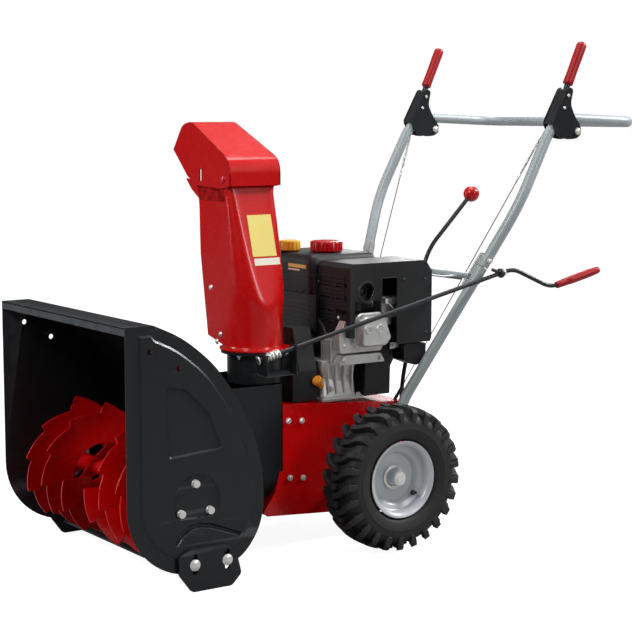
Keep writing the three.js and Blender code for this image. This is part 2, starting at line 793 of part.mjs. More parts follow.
function cap(x, y, bottom, top, radius, neck) {
  const lobes = circle(radius, 24);
  const body = alongZ(lobes, bottom, top).translate([x, y, 0]);
  return cut(body, bar([x, y, bottom - 10], [x, y, top - 8], neck + 1, 16));
}

function engineShroud() {
  const x1 = ENGINE.shroudX;
  const side = shapeOf([
    [-44, 464],
    [40, 464],
    [40, 441],
    [184, 441],
    [188, 450],
    [188, 604],
    [170, 630],
    [-34, 630],
    [-44, 620],
  ]);
  const inside = shapeOf([
    [-41, 400],
    [185, 400],
    [185, 603],
    [169, 627],
    [-33, 627],
    [-41, 619],
  ]);
  const shell = cut(alongX(side, 24, x1), alongX(inside, 20, x1 - SHEET));
  const holes = [
    bar([x1 - 10, 2, 566], [x1 + 10, 2, 566], 20, 16),
    box([x1 - 10, x1 + 10], [46, 88], [430, 594]),
    box([x1 - 10, x1 + 10], [-30, 90], [430, 545]),
  ];
  const vents = [];
  for (const x of [34, 92]) {
    for (let row = 0; row < 4; row++) {
      vents.push(box([x, x + 42], [-60, -30], [486 + 30 * row, 495 + 30 * row]));
    }
  }
  return cut(shell, ...holes, ...vents);
}

function muffler() {
  return join(
    bar([34, 0, 575], [34 + 94, 0, 575], 36, 16),
    bar([110, 0, 520], [110, 0, 560], 12, 10),
  );
}

function carburettor() {
  return join(
    box([86, 118], [66, 108], [500, 548]),
    bar([90, 104, 524], [90, 172, 524], 24, 14),
    bar([106, 87, 484], [106, 87, 502], 12, 12),
  );
}

function throttleLever() {
  const hub = bar([121, 92, 540], [129, 92, 540], 9, 10);
  const arm = box([124, 128], [58, 94], [538, 545]);
  const tip = box([124, 146], [56, 62], [536, 547]);
  return join(hub, arm, tip);
}

// ---- Handlebars ----
const uprightPoint = (z) => {
  const t = (z - 305) / (755 - 305);
  return [THREE.MathUtils.lerp(125, 267, t), THREE.MathUtils.lerp(125, 345, t), z];
};

const HANDLE_BOLTS = [
  [95.3, 225],
  [115.5, 280],
];

function lowerHandle() {
  const foot = [125.5, 88, 205];
  const line = bentLine([foot, [125.5, 125, 306], uprightPoint(613.4)], 30);
  const bolts = HANDLE_BOLTS.map(([y, z]) => bar([104, y, z], [142, y, z], 5, 8));
  return join(tube(line, TUBE, 14), ...bolts);
}

function upperHandle() {
  const left = [uprightPoint(615), [267, 345, 755], [264, 452, 953], [264, 714, 942]];
  const right = left.map(([x, y, z]) => [-x, y, z]).reverse();
  return tube(bentLine([...left, ...right], 58), TUBE, 14);
}

function crossBrace() {
  const tie = bar([-BRACE.x, BRACE.y, BRACE.z], [BRACE.x, BRACE.y, BRACE.z], 7, 10);
  const pieces = [tie];
  for (const side of [-1, 1]) {
    const fish = box([-3, 3], [-13, 13], [-42, 42]).rotate([-24, 0, 0]).rotate([0, 17, 0]);
    const at = uprightPoint(604);
    const plate = fish.translate([at[0] - 18, at[1] - 5, 604]);
    pieces.push(side > 0 ? plate : mirrorX(plate));
  }
  const gate = cut(
    box([-46, 166], [206, 264], [589, 592]),
    box([-34, 154], [216, 244], [580, 600]),
  );
  pieces.push(gate);
  return join(...pieces);
}

const LEVER = { x: 264, y: 510, z: 922 };

function leverBracket() {
  const cheeks = shapeOf([
    [500, 937],
    [524, 936],
    [522, 912],
    [502, 912],
  ]);
  return join(
    alongX(cheeks, LEVER.x - 10, LEVER.x + 10),
    bar([LEVER.x - 20, LEVER.y, LEVER.z], [LEVER.x + 20, LEVER.y, LEVER.z], 4, 12),
  );
}

// A channel whose two cheeks straddle the handlebar and whose web lies in front of it.
function clutchLever() {
  const cheek = shapeOf([
    [430, 942],
    [448, 906],
    [466, 903],
    [508, 908],
    [521, 918],
    [520, 930],
    [502, 990],
    [494, 1020],
    [477, 1024],
  ]);
  const cheeks = [-1, 1].map((side) =>
    alongX(cheek, LEVER.x + side * 15.5 - 1.5, LEVER.x + side * 15.5 + 1.5),
  );
  const web = alongX(
    shapeOf([
      [456, 984],
      [459, 983],
      [494, 1018],
      [491, 1021],
      [477, 1024],
    ]),
    LEVER.x - 16,
    LEVER.x + 16,
  );
  const blade = bar([LEVER.x, 480, 1006], [LEVER.x, 531, 1116], 6, 12);
  const pin = bar([LEVER.x - 40, LEVER.y, LEVER.z], [LEVER.x + 40, LEVER.y, LEVER.z], 4.5, 10);
  return cut(join(...cheeks, web, blade), pin);
}

function leverGrip() {
  const bore = bar([LEVER.x, 480, 1006], [LEVER.x, 532, 1118.2], 6.4, 12);
  return cut(bar([LEVER.x, 491, 1030], [LEVER.x, 536, 1127], 11, 10), bore);
}

function clutchCable() {
  return bar([94, 123, 302], [246, 428, 909], 2.2, 8);
}

function speedLever() {
  const line = bentLine(
    [
      [60, 168, 250],
      [60, 170, 330],
      [60, 222, 580],
      [60, 250, 648],
      [60, 364, 760],
    ],
    30,
  );
  return join(tube(line, 5, 8), bar([60, BODY.rear + GAP, 262], [60, 176, 262], 12, 12));
}

function speedKnob() {
  return cut(ball([60, 376, 771.5], 19), bar([60, 352, 748.2], [60, 366.5, 762.5], 5.5, 12));
}

// ---- Assembly ----
function addBothSides(name, solid, material) {
  add(`left_${name}`, solid, material);
  add(`right_${name}`, mirrorX(solid), material);
}

add("auger_housing", augerHousing(), BLACK);
addBothSides("side_plate", sidePlate(), BLACK);
add("scraper_bar", scraperBar(), BLACK);
addBothSides("skid_shoe", skid(), BLACK);
addBothSides("auger_bearing", augerBearing(), STEEL);
add("auger_shaft", augerShaft(), STEEL);
addBothSides("auger", augerHalf(), RED);
add("auger_gearbox", gearbox(), CAST);
add("impeller_shaft", impellerShaft(), STEEL);
add("impeller", impeller(), RED);
add("impeller_housing", impellerHousing(), BLACK);
add("chute", chute(), RED);
add("deflector_hood", hood(), RED);
add("chute_crank_rod", crankRod(), STEEL);
add("chute_crank_grip", crankGrip(), GRIP);
add("crank_eye", crankEye(), BLACK);
add("crank_bracket", crankBracket(), STEEL);

add("tractor_body", tractorBody(), RED);
add("belt_cover", beltCover(), PLASTIC);
add("axle", axle(), STEEL);
addBothSides("tyre", tyre(), RUBBER);
addBothSides("rim", rim(), RIM_PAINT);
add("axle_gear", axleGear(), STEEL);
add("pinion_shaft", pinionShaft(), STEEL);
add("friction_wheel", frictionWheel(), RUBBER);
add("friction_disc", frictionDisc(), STEEL);
add("engine_pulley", enginePulley(), STEEL);
add("auger_belt", belt(PULLEY_Y, AUGER.z, 76 + GAP, ENGINE.z, 34 + GAP), RUBBER);
add("drive_belt", belt(DRIVE_Y, LAYSHAFT_Z, 50 + GAP, ENGINE.z, 28 + GAP), RUBBER);

add("crankcase", crankcase(), CAST);
add("valve_cover", valveCover(), CAST);
add("blower_housing", blowerHousing(), PLASTIC);
add("recoil_grip", recoilGrip(), PLASTIC);
add("fuel_tank", fuelTank(), PLASTIC);
add("fuel_cap", cap(-45, 26, 644, 669, 38, 24), RED);
add("oil_cap", cap(-115, -30, 644, 668, 25, 15), YELLOW);
add("engine_shroud", engineShroud(), PLASTIC);
add("muffler", muffler(), STEEL);
add("carburettor", carburettor(), CAST);
add("throttle_lever", throttleLever(), STEEL);

addBothSides("lower_handle", lowerHandle(), SILVER);
add("upper_handle", upperHandle(), SILVER);
add("cross_brace", crossBrace(), SILVER);
addBothSides("lever_bracket", leverBracket(), BLACK);
addBothSides("clutch_lever", clutchLever(), BLACK);
addBothSides("lever_grip", leverGrip(), GRIP);
addBothSides("clutch_cable", clutchCable(), STEEL);
add("speed_lever", speedLever(), BLACK);
add("speed_knob", speedKnob(), GRIP);

machine.position.y = -MIDDLE_Y;

export default group;
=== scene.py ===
"""The look of a walk-behind two-stage snow blower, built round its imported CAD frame.

Shapes are drawn in millimetres, counted from the wheel axle on the ground (-Y is the front, +X the machine's
left), and piece() puts them into the frame in metres.
"""

import json
import math

import bmesh
import bpy
from mathutils import Matrix, Vector, geometry


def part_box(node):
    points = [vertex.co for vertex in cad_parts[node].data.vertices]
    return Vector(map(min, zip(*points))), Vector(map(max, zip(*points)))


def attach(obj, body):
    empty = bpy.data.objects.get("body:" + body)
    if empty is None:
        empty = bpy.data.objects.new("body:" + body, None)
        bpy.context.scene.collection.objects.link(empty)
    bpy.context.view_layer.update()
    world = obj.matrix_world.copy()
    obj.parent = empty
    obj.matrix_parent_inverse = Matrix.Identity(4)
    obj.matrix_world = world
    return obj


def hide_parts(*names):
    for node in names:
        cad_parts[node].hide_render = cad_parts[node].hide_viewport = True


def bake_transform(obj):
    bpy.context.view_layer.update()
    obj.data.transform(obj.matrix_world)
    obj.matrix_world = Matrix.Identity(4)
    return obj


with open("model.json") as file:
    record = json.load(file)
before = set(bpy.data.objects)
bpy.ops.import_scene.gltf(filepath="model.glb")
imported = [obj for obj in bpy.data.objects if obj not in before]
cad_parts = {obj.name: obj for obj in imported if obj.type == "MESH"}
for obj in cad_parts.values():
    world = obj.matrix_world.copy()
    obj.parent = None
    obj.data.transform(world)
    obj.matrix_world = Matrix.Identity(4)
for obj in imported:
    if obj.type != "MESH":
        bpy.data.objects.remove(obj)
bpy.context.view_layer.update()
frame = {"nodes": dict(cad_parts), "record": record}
tyre_low, tyre_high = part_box("left_tyre")
AXLE = Vector((0, (tyre_low.y + tyre_high.y) / 2, 0))
TO_METRES = Matrix.Translation(AXLE) @ Matrix.Scale(0.001, 4)
TO_MILLIMETRES = TO_METRES.inverted()

# ---- Driving dimensions, as in the CAD frame ----
HOUSING_HALF = 285
PLATE_OUT = 290
AUGER = Vector((0, -530, 183))
AUGER_BLADE = {"inner": 62, "outer": 142, "from": 50, "to": 256, "turns": 1.25}
BEARING_RING = 39
DRUM_HALF = 112
CHUTE = {"x": 40, "y": -227.5, "foot": 445, "top": 806, "half": 62.5, "ring": 79}
HOOD = {"x": 15, "z": 820, "half": 65.5, "mouth": 52, "tip": -222}
WHEEL = {"x": 246, "z": 163, "radius": 163, "rim": 86}
TUBE = 12.5
CRANK_FOOT = Vector((130, -251, 437))
CRANK_EYE = Vector((243, 313, 599))
CRANK_DROP = 74
LEVER = Vector((264, 510, 922))
SHROUD = {"front": -44, "rear": 188, "out": 148}
X, Y, Z = Vector((1, 0, 0)), Vector((0, 1, 0)), Vector((0, 0, 1))


# ---- Camera, light and backdrop ----
def make_camera():
    data = bpy.data.cameras.new("camera")
    data.lens = 95.92
    data.sensor_width = 36
    data.clip_end = 60
    camera = bpy.data.objects.new("camera", data)
    bpy.context.scene.collection.objects.link(camera)
    camera.location = AXLE + Vector((3.1719, -2.2234, 0.974))
    turn, dip = math.radians(55.39), math.radians(7.02)
    look = Vector((-math.sin(turn) * math.cos(dip), math.cos(turn) * math.cos(dip), -math.sin(dip)))
    camera.rotation_euler = look.to_track_quat("-Z", "Y").to_euler()
    bpy.context.scene.camera = camera


def area_light(name, place, target, size, power, colour=(1, 1, 1)):
    data = bpy.data.lights.new(name, "AREA")
    data.shape = "RECTANGLE"
    data.size, data.size_y = size
    data.energy = power
    data.color = colour
    light = bpy.data.objects.new(name, data)
    bpy.context.scene.collection.objects.link(light)
    light.location = place
    light.rotation_euler = (Vector(target) - Vector(place)).to_track_quat("-Z", "Y").to_euler()


def make_world():
    """White for the camera, and for light and reflections a sky that is bright above and dim below."""
    world = bpy.data.worlds.new("studio")
    bpy.context.scene.world = world
    world.use_nodes = True
    nodes, links = world.node_tree.nodes, world.node_tree.links
    nodes.clear()
    coords = nodes.new("ShaderNodeTexCoord")
    split = nodes.new("ShaderNodeSeparateXYZ")
    links.new(coords.outputs["Generated"], split.inputs[0])
    ramp = nodes.new("ShaderNodeValToRGB")
    ramp.color_ramp.elements[0].position = 0.52
    ramp.color_ramp.elements[0].color = (0.03, 0.03, 0.033, 1)
    ramp.color_ramp.elements[1].position = 0.95
    ramp.color_ramp.elements[1].color = (0.85, 0.86, 0.88, 1)
    raise_z = nodes.new("ShaderNodeMath")
    raise_z.operation = "MULTIPLY_ADD"
    raise_z.inputs[1].default_value = 0.5
    raise_z.inputs[2].default_value = 0.5
    links.new(split.outputs["Z"], raise_z.inputs[0])
    links.new(raise_z.outputs[0], ramp.inputs[0])
    seen = nodes.new("ShaderNodeBackground")
    seen.inputs[0].default_value = (1, 1, 1, 1)
    seen.inputs[1].default_value = 1.0
    sky = nodes.new("ShaderNodeBackground")
    sky.inputs[1].default_value = 0.40
    links.new(ramp.outputs[0], sky.inputs[0])
    path = nodes.new("ShaderNodeLightPath")
    mix = nodes.new("ShaderNodeMixShader")
    links.new(path.outputs["Is Camera Ray"], mix.inputs[0])
    links.new(sky.outputs[0], mix.inputs[1])
    links.new(seen.outputs[0], mix.inputs[2])
    out = nodes.new("ShaderNodeOutputWorld")
    links.new(mix.outputs[0], out.inputs[0])


def make_studio():
    make_camera()
    make_world()
    middle = (0, 0, 0.45)
    area_light("key", (1.0, -3.9, 3.4), middle, (1.2, 1.2), 105)
    area_light("side_fill", (4.6, 1.4, 2.6), middle, (0.9, 1.8), 55)
    area_light("front_fill", (-2.6, -3.4, 1.6), middle, (0.8, 1.6), 40)
    area_light("top", (-0.2, 0.4, 3.4), middle, (1.8, 1.8), 60)
    area_light("kicker", (1.4, 3.8, 3.2), (0.3, -0.3, 0.3), (0.6, 0.6), 190)
    area_light("rim", (-2.8, 2.8, 2.0), middle, (1.0, 2.0), 50)
    view = bpy.context.scene.view_settings
    view.view_transform = "Standard"
    view.look = "None"


# ---- Materials ----
# The record's slot of each finish that isn't one of its own.
SLOT_OF = {
    "label_yellow": "yellow_plastic",
    "label_white": "rim_paint",
    "dipstick_orange": "yellow_plastic",
}


def surface(name, colour, roughness, metallic=0.0, coat=0.0, grain=(900, 0.05), mottle=0.08,
            blotch=9, edge=None):
    """A Principled surface with mottled colour and roughness, a fine grain, and lighter edges that are partly
    wear and partly a painted highlight.
    """
    material = bpy.data.materials.new(f"{name}_finish")
    material["slot"] = SLOT_OF.get(name, name)
    material.use_nodes = True
    nodes, links = material.node_tree.nodes, material.node_tree.links
    shader = nodes["Principled BSDF"]
    coords = nodes.new("ShaderNodeTexCoord")
    broad = nodes.new("ShaderNodeTexNoise")
    broad.inputs["Scale"].default_value = blotch
    broad.inputs["Detail"].default_value = 6
    links.new(coords.outputs["Object"], broad.inputs["Vector"])
    shade = nodes.new("ShaderNodeMapRange")
    shade.inputs["To Min"].default_value = 1 - mottle
    shade.inputs["To Max"].default_value = 1 + mottle
    links.new(broad.outputs["Fac"], shade.inputs["Value"])
    tint = nodes.new("ShaderNodeMix")
    tint.data_type = "RGBA"
    tint.blend_type = "MULTIPLY"
    tint.inputs["Factor"].default_value = 1
    tint.inputs["A"].default_value = (*colour, 1)
    links.new(shade.outputs["Result"], tint.inputs["B"])
    result = tint.outputs["Result"]
    rough = nodes.new("ShaderNodeMapRange")
    rough.inputs["To Min"].default_value = max(roughness - 0.03, 0.03)
    rough.inputs["To Max"].default_value = roughness + 0.05
    smudge = nodes.new("ShaderNodeTexNoise")
    smudge.inputs["Scale"].default_value = blotch * 4.5
    smudge.inputs["Detail"].default_value = 8
    links.new(coords.outputs["Object"], smudge.inputs["Vector"])
    links.new(smudge.outputs["Fac"], rough.inputs["Value"])
    rough_out = rough.outputs["Result"]
    # Sharp edges, found by pointiness, are mixed towards the edge colour: partly wear, partly a painted
    # highlight along the edges.
    if edge:
        edge_pointiness = nodes.new("ShaderNodeNewGeometry")
        ramp = nodes.new("ShaderNodeValToRGB")
        ramp.color_ramp.elements[0].position = 0.54
        ramp.color_ramp.elements[1].position = 0.66
        links.new(edge_pointiness.outputs["Pointiness"], ramp.inputs[0])
        breakup = nodes.new("ShaderNodeMath")
        breakup.operation = "MULTIPLY"
        links.new(ramp.outputs["Color"], breakup.inputs[0])
        links.new(smudge.outputs["Fac"], breakup.inputs[1])
        edged = nodes.new("ShaderNodeMix")
        edged.data_type = "RGBA"
        links.new(breakup.outputs[0], edged.inputs["Factor"])
        links.new(result, edged.inputs["A"])
        edged.inputs["B"].default_value = (*edge, 1)
        result = edged.outputs["Result"]
    links.new(result, shader.inputs["Base Color"])
    links.new(rough_out, shader.inputs["Roughness"])
    shader.inputs["Metallic"].default_value = metallic
    shader.inputs["Coat Weight"].default_value = coat
    shader.inputs["Coat Roughness"].default_value = 0.08
    shader.inputs["Specular IOR Level"].default_value = 0.38
    fine = nodes.new("ShaderNodeTexNoise")
    fine.inputs["Scale"].default_value = grain[0]
    fine.inputs["Detail"].default_value = 3
    links.new(coords.outputs["Object"], fine.inputs["Vector"])
    bump = nodes.new("ShaderNodeBump")
    bump.inputs["Strength"].default_value = grain[1]
    bump.inputs["Distance"].default_value = 0.001
    links.new(fine.outputs["Fac"], bump.inputs["Height"])
    links.new(bump.outputs["Normal"], shader.inputs["Normal"])
    return material


RED = surface("red_paint", (0.56, 0.0008, 0.0012), 0.26, coat=0.25, grain=(260, 0.05), mottle=0.05)
# The black paint's light edge colour is a painted highlight along the edges as well as wear.
BLACK = surface("black_paint", (0.0065, 0.0085, 0.0105), 0.34, coat=0.05, grain=(700, 0.08), mottle=0.10,
                edge=(0.09, 0.10, 0.11))
SILVER = surface("silver_paint", (0.36, 0.405, 0.41), 0.42, metallic=0.12, coat=0.08, grain=(1500, 0.05),
                 mottle=0.05)
RIM_PAINT = surface("rim_paint", (0.50, 0.52, 0.545), 0.36, metallic=0.15, coat=0.2, grain=(500, 0.05),
                    mottle=0.05)
ZINC = surface("zinc_steel", (0.80, 0.79, 0.76), 0.34, metallic=0.6, grain=(1200, 0.06), mottle=0.14,
               blotch=60)
IRON = surface("cast_iron", (0.045, 0.045, 0.047), 0.5, metallic=0.5, grain=(420, 0.5), mottle=0.15)
ALLOY = surface("cast_alloy", (0.60, 0.595, 0.575), 0.36, metallic=0.7, grain=(650, 0.35), mottle=0.12,
                blotch=25, edge=(0.85, 0.85, 0.84))
PLASTIC = surface("black_plastic", (0.0095, 0.010, 0.0112), 0.42, grain=(1600, 0.25), mottle=0.12,
                  edge=(0.06, 0.06, 0.065))
RED_PLASTIC = surface("red_plastic", (0.50, 0.002, 0.006), 0.26, coat=0.2, grain=(800, 0.08))
YELLOW = surface("yellow_plastic", (0.78, 0.40, 0.012), 0.38, coat=0.1, grain=(800, 0.10))
TYRE = surface("tyre_rubber", (0.0125, 0.0127, 0.0132), 0.56, grain=(1100, 0.35), mottle=0.25, blotch=18,
               edge=(0.075, 0.072, 0.068))
BELT = surface("belt_rubber", (0.02, 0.02, 0.02), 0.7, grain=(2500, 0.5))
VINYL = surface("grip_vinyl", (0.36, 0.002, 0.004), 0.40, coat=0.05, grain=(1400, 0.12), mottle=0.06)
LABEL = surface("label_yellow", (0.80, 0.66, 0.17), 0.5, grain=(900, 0.03), mottle=0.03)
LABEL_WHITE = surface("label_white", (0.80, 0.76, 0.62), 0.45, grain=(900, 0.03), mottle=0.04)
ORANGE = surface("dipstick_orange", (0.80, 0.28, 0.02), 0.38, coat=0.1, grain=(800, 0.10))


# ---- Turning geometry into pieces ----
def piece(name, bm, material, body="machine", replaces=(), bevel=0.0, angle=35, segments=2):
    bmesh.ops.remove_doubles(bm, verts=bm.verts, dist=0.005)
    bmesh.ops.recalc_face_normals(bm, faces=bm.faces)
    bm.transform(TO_METRES)
    mesh = bpy.data.meshes.new(name)
    bm.to_mesh(mesh)
    bm.free()
    mesh.materials.append(material)
    mesh.shade_smooth()
    mesh.set_sharp_from_angle(angle=math.radians(angle))
    obj = bpy.data.objects.new(name, mesh)
    bpy.context.scene.collection.objects.link(obj)
    if bevel:
        edges = obj.modifiers.new("edges", "BEVEL")
        edges.width = bevel / 1000
        edges.segments = segments
        edges.limit_method = "ANGLE"
        edges.angle_limit = math.radians(angle)
        edges.harden_normals = True
        edges.use_clamp_overlap = True
    if body:
        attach(obj, body)
    if replaces:
        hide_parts(*replaces)
    return obj


def both_sides(name, build, material, body="machine", replaces=None, **how):
    """The piece on the left, and its mirror image on the right. {side} in a body's name is filled in."""
    for side, sign in (("left", 1), ("right", -1)):
        bm = bmesh.new()
        build(bm)
        bm.transform(Matrix.Scale(sign, 4, X))
        nodes = [f"{side}_{node}" for node in replaces or ()]
        piece(f"{side}_{name}", bm, material, body.format(side=side), nodes, **how)


def made(name, build, material, body="machine", replaces=(), **how):
    bm = bmesh.new()
    build(bm)
    return piece(name, bm, material, body, replaces, **how)


def refined(node, material, bevel=0.8, angle=32):
    """A CAD node's own shape with its facets merged, its curves smoothed and its edges rounded."""
    bm = bmesh.new()
    bm.from_mesh(frame["nodes"][node].data)
    bm.transform(TO_MILLIMETRES)
    bmesh.ops.remove_doubles(bm, verts=bm.verts, dist=0.02)
    flat = math.radians(0.6)
    bmesh.ops.dissolve_limit(bm, angle_limit=flat, verts=bm.verts, edges=bm.edges)
    body = next(b for b, nodes in frame["record"]["behaviour"]["bodies"].items() if node in nodes)
    return piece(f"{node}_shape", bm, material, body, [node], bevel=bevel, angle=angle)


# ---- Shapes, all in millimetres ----
def loft(bm, rings, closed=True, caps=True):
    """Joins rings of points, one after the other, and closes both ends."""
    rows = [[bm.verts.new(p) for p in ring] for ring in rings]
    count = len(rows[0])
    last = count if closed else count - 1
    for a, b in zip(rows, rows[1:]):
        for i in range(last):
            j = (i + 1) % count
            bm.faces.new((a[i], a[j], b[j], b[i]))
    if caps:
        bm.faces.new(list(reversed(rows[0])))
        bm.faces.new(rows[-1])


def across(axis):
    """Two directions square to an axis and to each other."""
    axis = Vector(axis).normalized()
    u = axis.orthogonal().normalized() if abs(axis.z) > 0.9 else axis.cross(Z).normalized()
    return u, axis.cross(u)


def turned(bm, centre, axis, profile, sides=32):
    """A profile of (radius, distance along the axis) turned about it.

    It starts and ends near the axis, or at one point for a ring, which has no caps.
    """
    axis = Vector(axis).normalized()
    u, v = across(axis)
    rings = []
    for radius, distance in profile:
        middle = Vector(centre) + axis * distance
        ring = []
        for i in range(sides):
            turn = 2 * math.pi * i / sides
            ring.append(middle + (u * math.cos(turn) + v * math.sin(turn)) * max(radius, 0.01))
        rings.append(ring)
    loft(bm, rings, caps=profile[0] != profile[-1])


def bar(bm, a, b, radius, sides=24, end=None, chamfer=0.0):
    a, b = Vector(a), Vector(b)
    length = (b - a).length
    end = radius if end is None else end
    profile = [(radius - chamfer, 0), (radius, chamfer), (end, length - chamfer), (end - chamfer, length)]
    turned(bm, a, b - a, profile if chamfer else [(radius, 0), (end, length)], sides)


def bent(points, radius, steps=8):
    """The points of straight runs joined by rounded corners."""
    points = [Vector(p) for p in points]
    line = [points[0]]
    for before, corner, after in zip(points, points[1:], points[2:]):
        back, ahead = before - corner, after - corner
        reach = min(radius, back.length / 2.01, ahead.length / 2.01)
        start = corner + back.normalized() * reach
        stop = corner + ahead.normalized() * reach
        for i in range(steps + 1):
            t = i / steps
            line.append(start * (1 - t) ** 2 + corner * 2 * t * (1 - t) + stop * t * t)
    return line + [points[-1]]


def sweep(bm, line, radius, sides=16):
    """A round bar along a line of points. radius is a number, or a function of the share along it."""
    line = [Vector(p) for p in line]
    heading = (line[1] - line[0]).normalized()
    u, v = across(heading)
    rings = []
    for k, point in enumerate(line):
        after = (line[min(k + 1, len(line) - 1)] - line[max(k - 1, 0)]).normalized()
        turn = heading.rotation_difference(after)
        u, v = turn @ u, turn @ v
        heading = after
        r = radius(k / (len(line) - 1)) if callable(radius) else radius
        ring = []
        for i in range(sides):
            angle = 2 * math.pi * i / sides
            ring.append(point + (u * math.cos(angle) + v * math.sin(angle)) * r)
        rings.append(ring)
    loft(bm, rings)


def on_plane(plane, u, v, w):
    return {"x": Vector((w, u, v)), "y": Vector((u, w, v)), "z": Vector((u, v, w))}[plane]


def prism(bm, outline, w0, w1, plane, holes=()):
    """A flat plate: an outline in the plane square to an axis, between two distances along it."""
    loops = [list(outline), *[list(hole) for hole in holes]]
    flat = [[Vector((u, v, 0)) for u, v in loop] for loop in loops]
    points = [p for loop in flat for p in loop]
    sheets = [[bm.verts.new(on_plane(plane, p.x, p.y, w)) for p in points] for w in (w0, w1)]
    if holes:
        for a, b, c in geometry.tessellate_polygon(flat):
            for sheet in sheets:
                bm.faces.new((sheet[a], sheet[b], sheet[c]))
    else:
        for sheet in sheets:
            bm.faces.new(sheet)
    first = 0
    for loop in loops:
        for i in range(len(loop)):
            j = first + (i + 1) % len(loop)
            i += first
            bm.faces.new((sheets[0][i], sheets[0][j], sheets[1][j], sheets[1][i]))
        first += len(loop)


def block(bm, x, y, z):
    prism(bm, [(x[0], y[0]), (x[1], y[0]), (x[1], y[1]), (x[0], y[1])], z[0], z[1], "z")


def arc(centre, radius, start, stop, steps):
    """Points on an arc in a plane, from one angle in degrees to another."""
    points = []
    for i in range(steps + 1):
        turn = math.radians(start + (stop - start) * i / steps)
        points.append((centre[0] + radius * math.cos(turn), centre[1] + radius * math.sin(turn)))
    return points


def rounded(points, radius, steps=6):
    """A closed outline with its corners rounded."""
    flat = [Vector((u, v, 0)) for u, v in points]
    outline = []
    for i, corner in enumerate(flat):
        back, ahead = flat[i - 1] - corner, flat[(i + 1) % len(flat)] - corner
        reach = min(radius, back.length / 2.05, ahead.length / 2.05)
        start = corner + back.normalized() * reach
        stop = corner + ahead.normalized() * reach
        for k in range(steps + 1):
            t = k / steps
            p = start * (1 - t) ** 2 + corner * 2 * t * (1 - t) + stop * t * t
            outline.append((p.x, p.y))
    return outline


def wall(points, thickness):
    """The outline of a thin wall that follows a line of points, with its thickness on the left."""
    other = []
    for i, p in enumerate(points):
        a, b = points[max(i - 1, 0)], points[min(i + 1, len(points) - 1)]
        length = math.hypot(b[0] - a[0], b[1] - a[1])
        other.append((p[0] - thickness * (b[1] - a[1]) / length, p[1] + thickness * (b[0] - a[0]) / length))
    return list(points) + other[::-1]


def hex_bolt(bm, place, axis, size=10, height=5.5, stub=0.0):
    """A washer, a hexagon head with a chamfered top, and the end of the thread where a nut shows one."""
    r = size / 2
    turned(bm, place, axis, [(0, 0), (r * 1.45, 0), (r * 1.45, 1.4), (0, 1.4)], 24)
    head = [(0, 1.2), (r * 1.12, 1.2), (r * 1.12, height - 1), (r * 0.95, height), (0, height)]
    turned(bm, place, axis, head, 6)
    if stub:
        turned(bm, place, axis, [(0, 1), (r * 0.55, 1), (r * 0.55, height + stub), (0, height + stub)], 16)


def dome_bolt(bm, place, axis, radius=8, height=4):
    turned(bm, place, axis, [(0, 0), (radius, 0), (radius, height * 0.25), (radius * 0.82, height * 0.7),
                             (radius * 0.45, height), (0, height)], 24)


def mix(a, b, t):
    return a + (b - a) * t


def clamp(t):
    return min(max(t, 0.0), 1.0)


make_studio()


# ---- Wheels ----
def tyre(bm):
    """A carcass with smooth walls, and two rows of chevron lugs that meet in turn across the tread."""
    profile = [(86.4, -34), (90, -40.5), (97, -45), (111, -48), (114, -48.8), (116, -48.2), (124, -48.6),
               (128, -48), (136, -45), (142, -40), (146.5, -30), (148.5, -15), (149, 0)]
    loop = profile + [(r, -w) for r, w in reversed(profile[:-1])] + [(86.4, 0)]
    rings = []
    for i in range(96):
        turn = 2 * math.pi * i / 96
        rings.append([(WHEEL["x"] + w, r * math.cos(turn), WHEEL["z"] + r * math.sin(turn)) for r, w in loop])
    rings.append(rings[0])
    loft(bm, rings, caps=False)
    count = 25
    for side in (-1, 1):
        for k in range(count):
            lug(bm, 2 * math.pi * (k + (0.5 if side > 0 else 0)) / count, side)


def lug(bm, turn, side):
    """One lug: it starts on the wall, turns over the shoulder and sweeps across the crown."""
    path = [(48.6, 129, 0.0, 6), (49.3, 140, 0.0, 8), (48.2, 151, 0.0, 9.2), (43, 157.5, 0.012, 9.6),
            (32, 160.5, 0.045, 9), (24, 161.5, 0.10, 7.5), (10, 162.3, 0.135, 7.5), (-5, 162.5, 0.15, 8.5)]
    rings = []
    for w, r, skew, half in path:
        angle = turn + skew
        outward = r + (0.4 if w < 40 else 0)
        inner_r = r - 18 if w < 46 else r - 2
        inner_w = w if w < 46 else w - 9
        ring = []
        for rr, ww, share in ((inner_r, inner_w, -1), (inner_r, inner_w, 1), (outward, w + 0.6, 0.8),
                              (outward, w + 0.6, -0.8)):
            a = angle + share * half / r
            ww = min(ww, 50) * side
            ring.append((WHEEL["x"] + ww, rr * math.cos(a), WHEEL["z"] + rr * math.sin(a)))
        rings.append(ring)
    loft(bm, rings)


def rim(bm):
    centre = (WHEEL["x"], 0, WHEEL["z"])
    profile = [(0, 30), (11, 30), (17, 30), (17.6, 27), (19, 8), (24, 4), (40, 3), (52, 6), (58, 14),
               (62, 18), (69, 19.5), (72, 22), (74, 34), (77, 39), (82, 42.6), (85.4, 43.2), (86, 41.4),
               (84.4, 38.5), (80, 36), (76, 30), (75, 0), (75, -30), (80, -36), (84.4, -38.5), (86, -41.4),
               (85.4, -43.2), (82, -42.6), (77, -39), (74, -34), (71, -25), (60, -10), (50, -2), (24, -4),
               (19, -12), (19, -34), (0, -34)]
    turned(bm, centre, X, profile[::-1], 72)


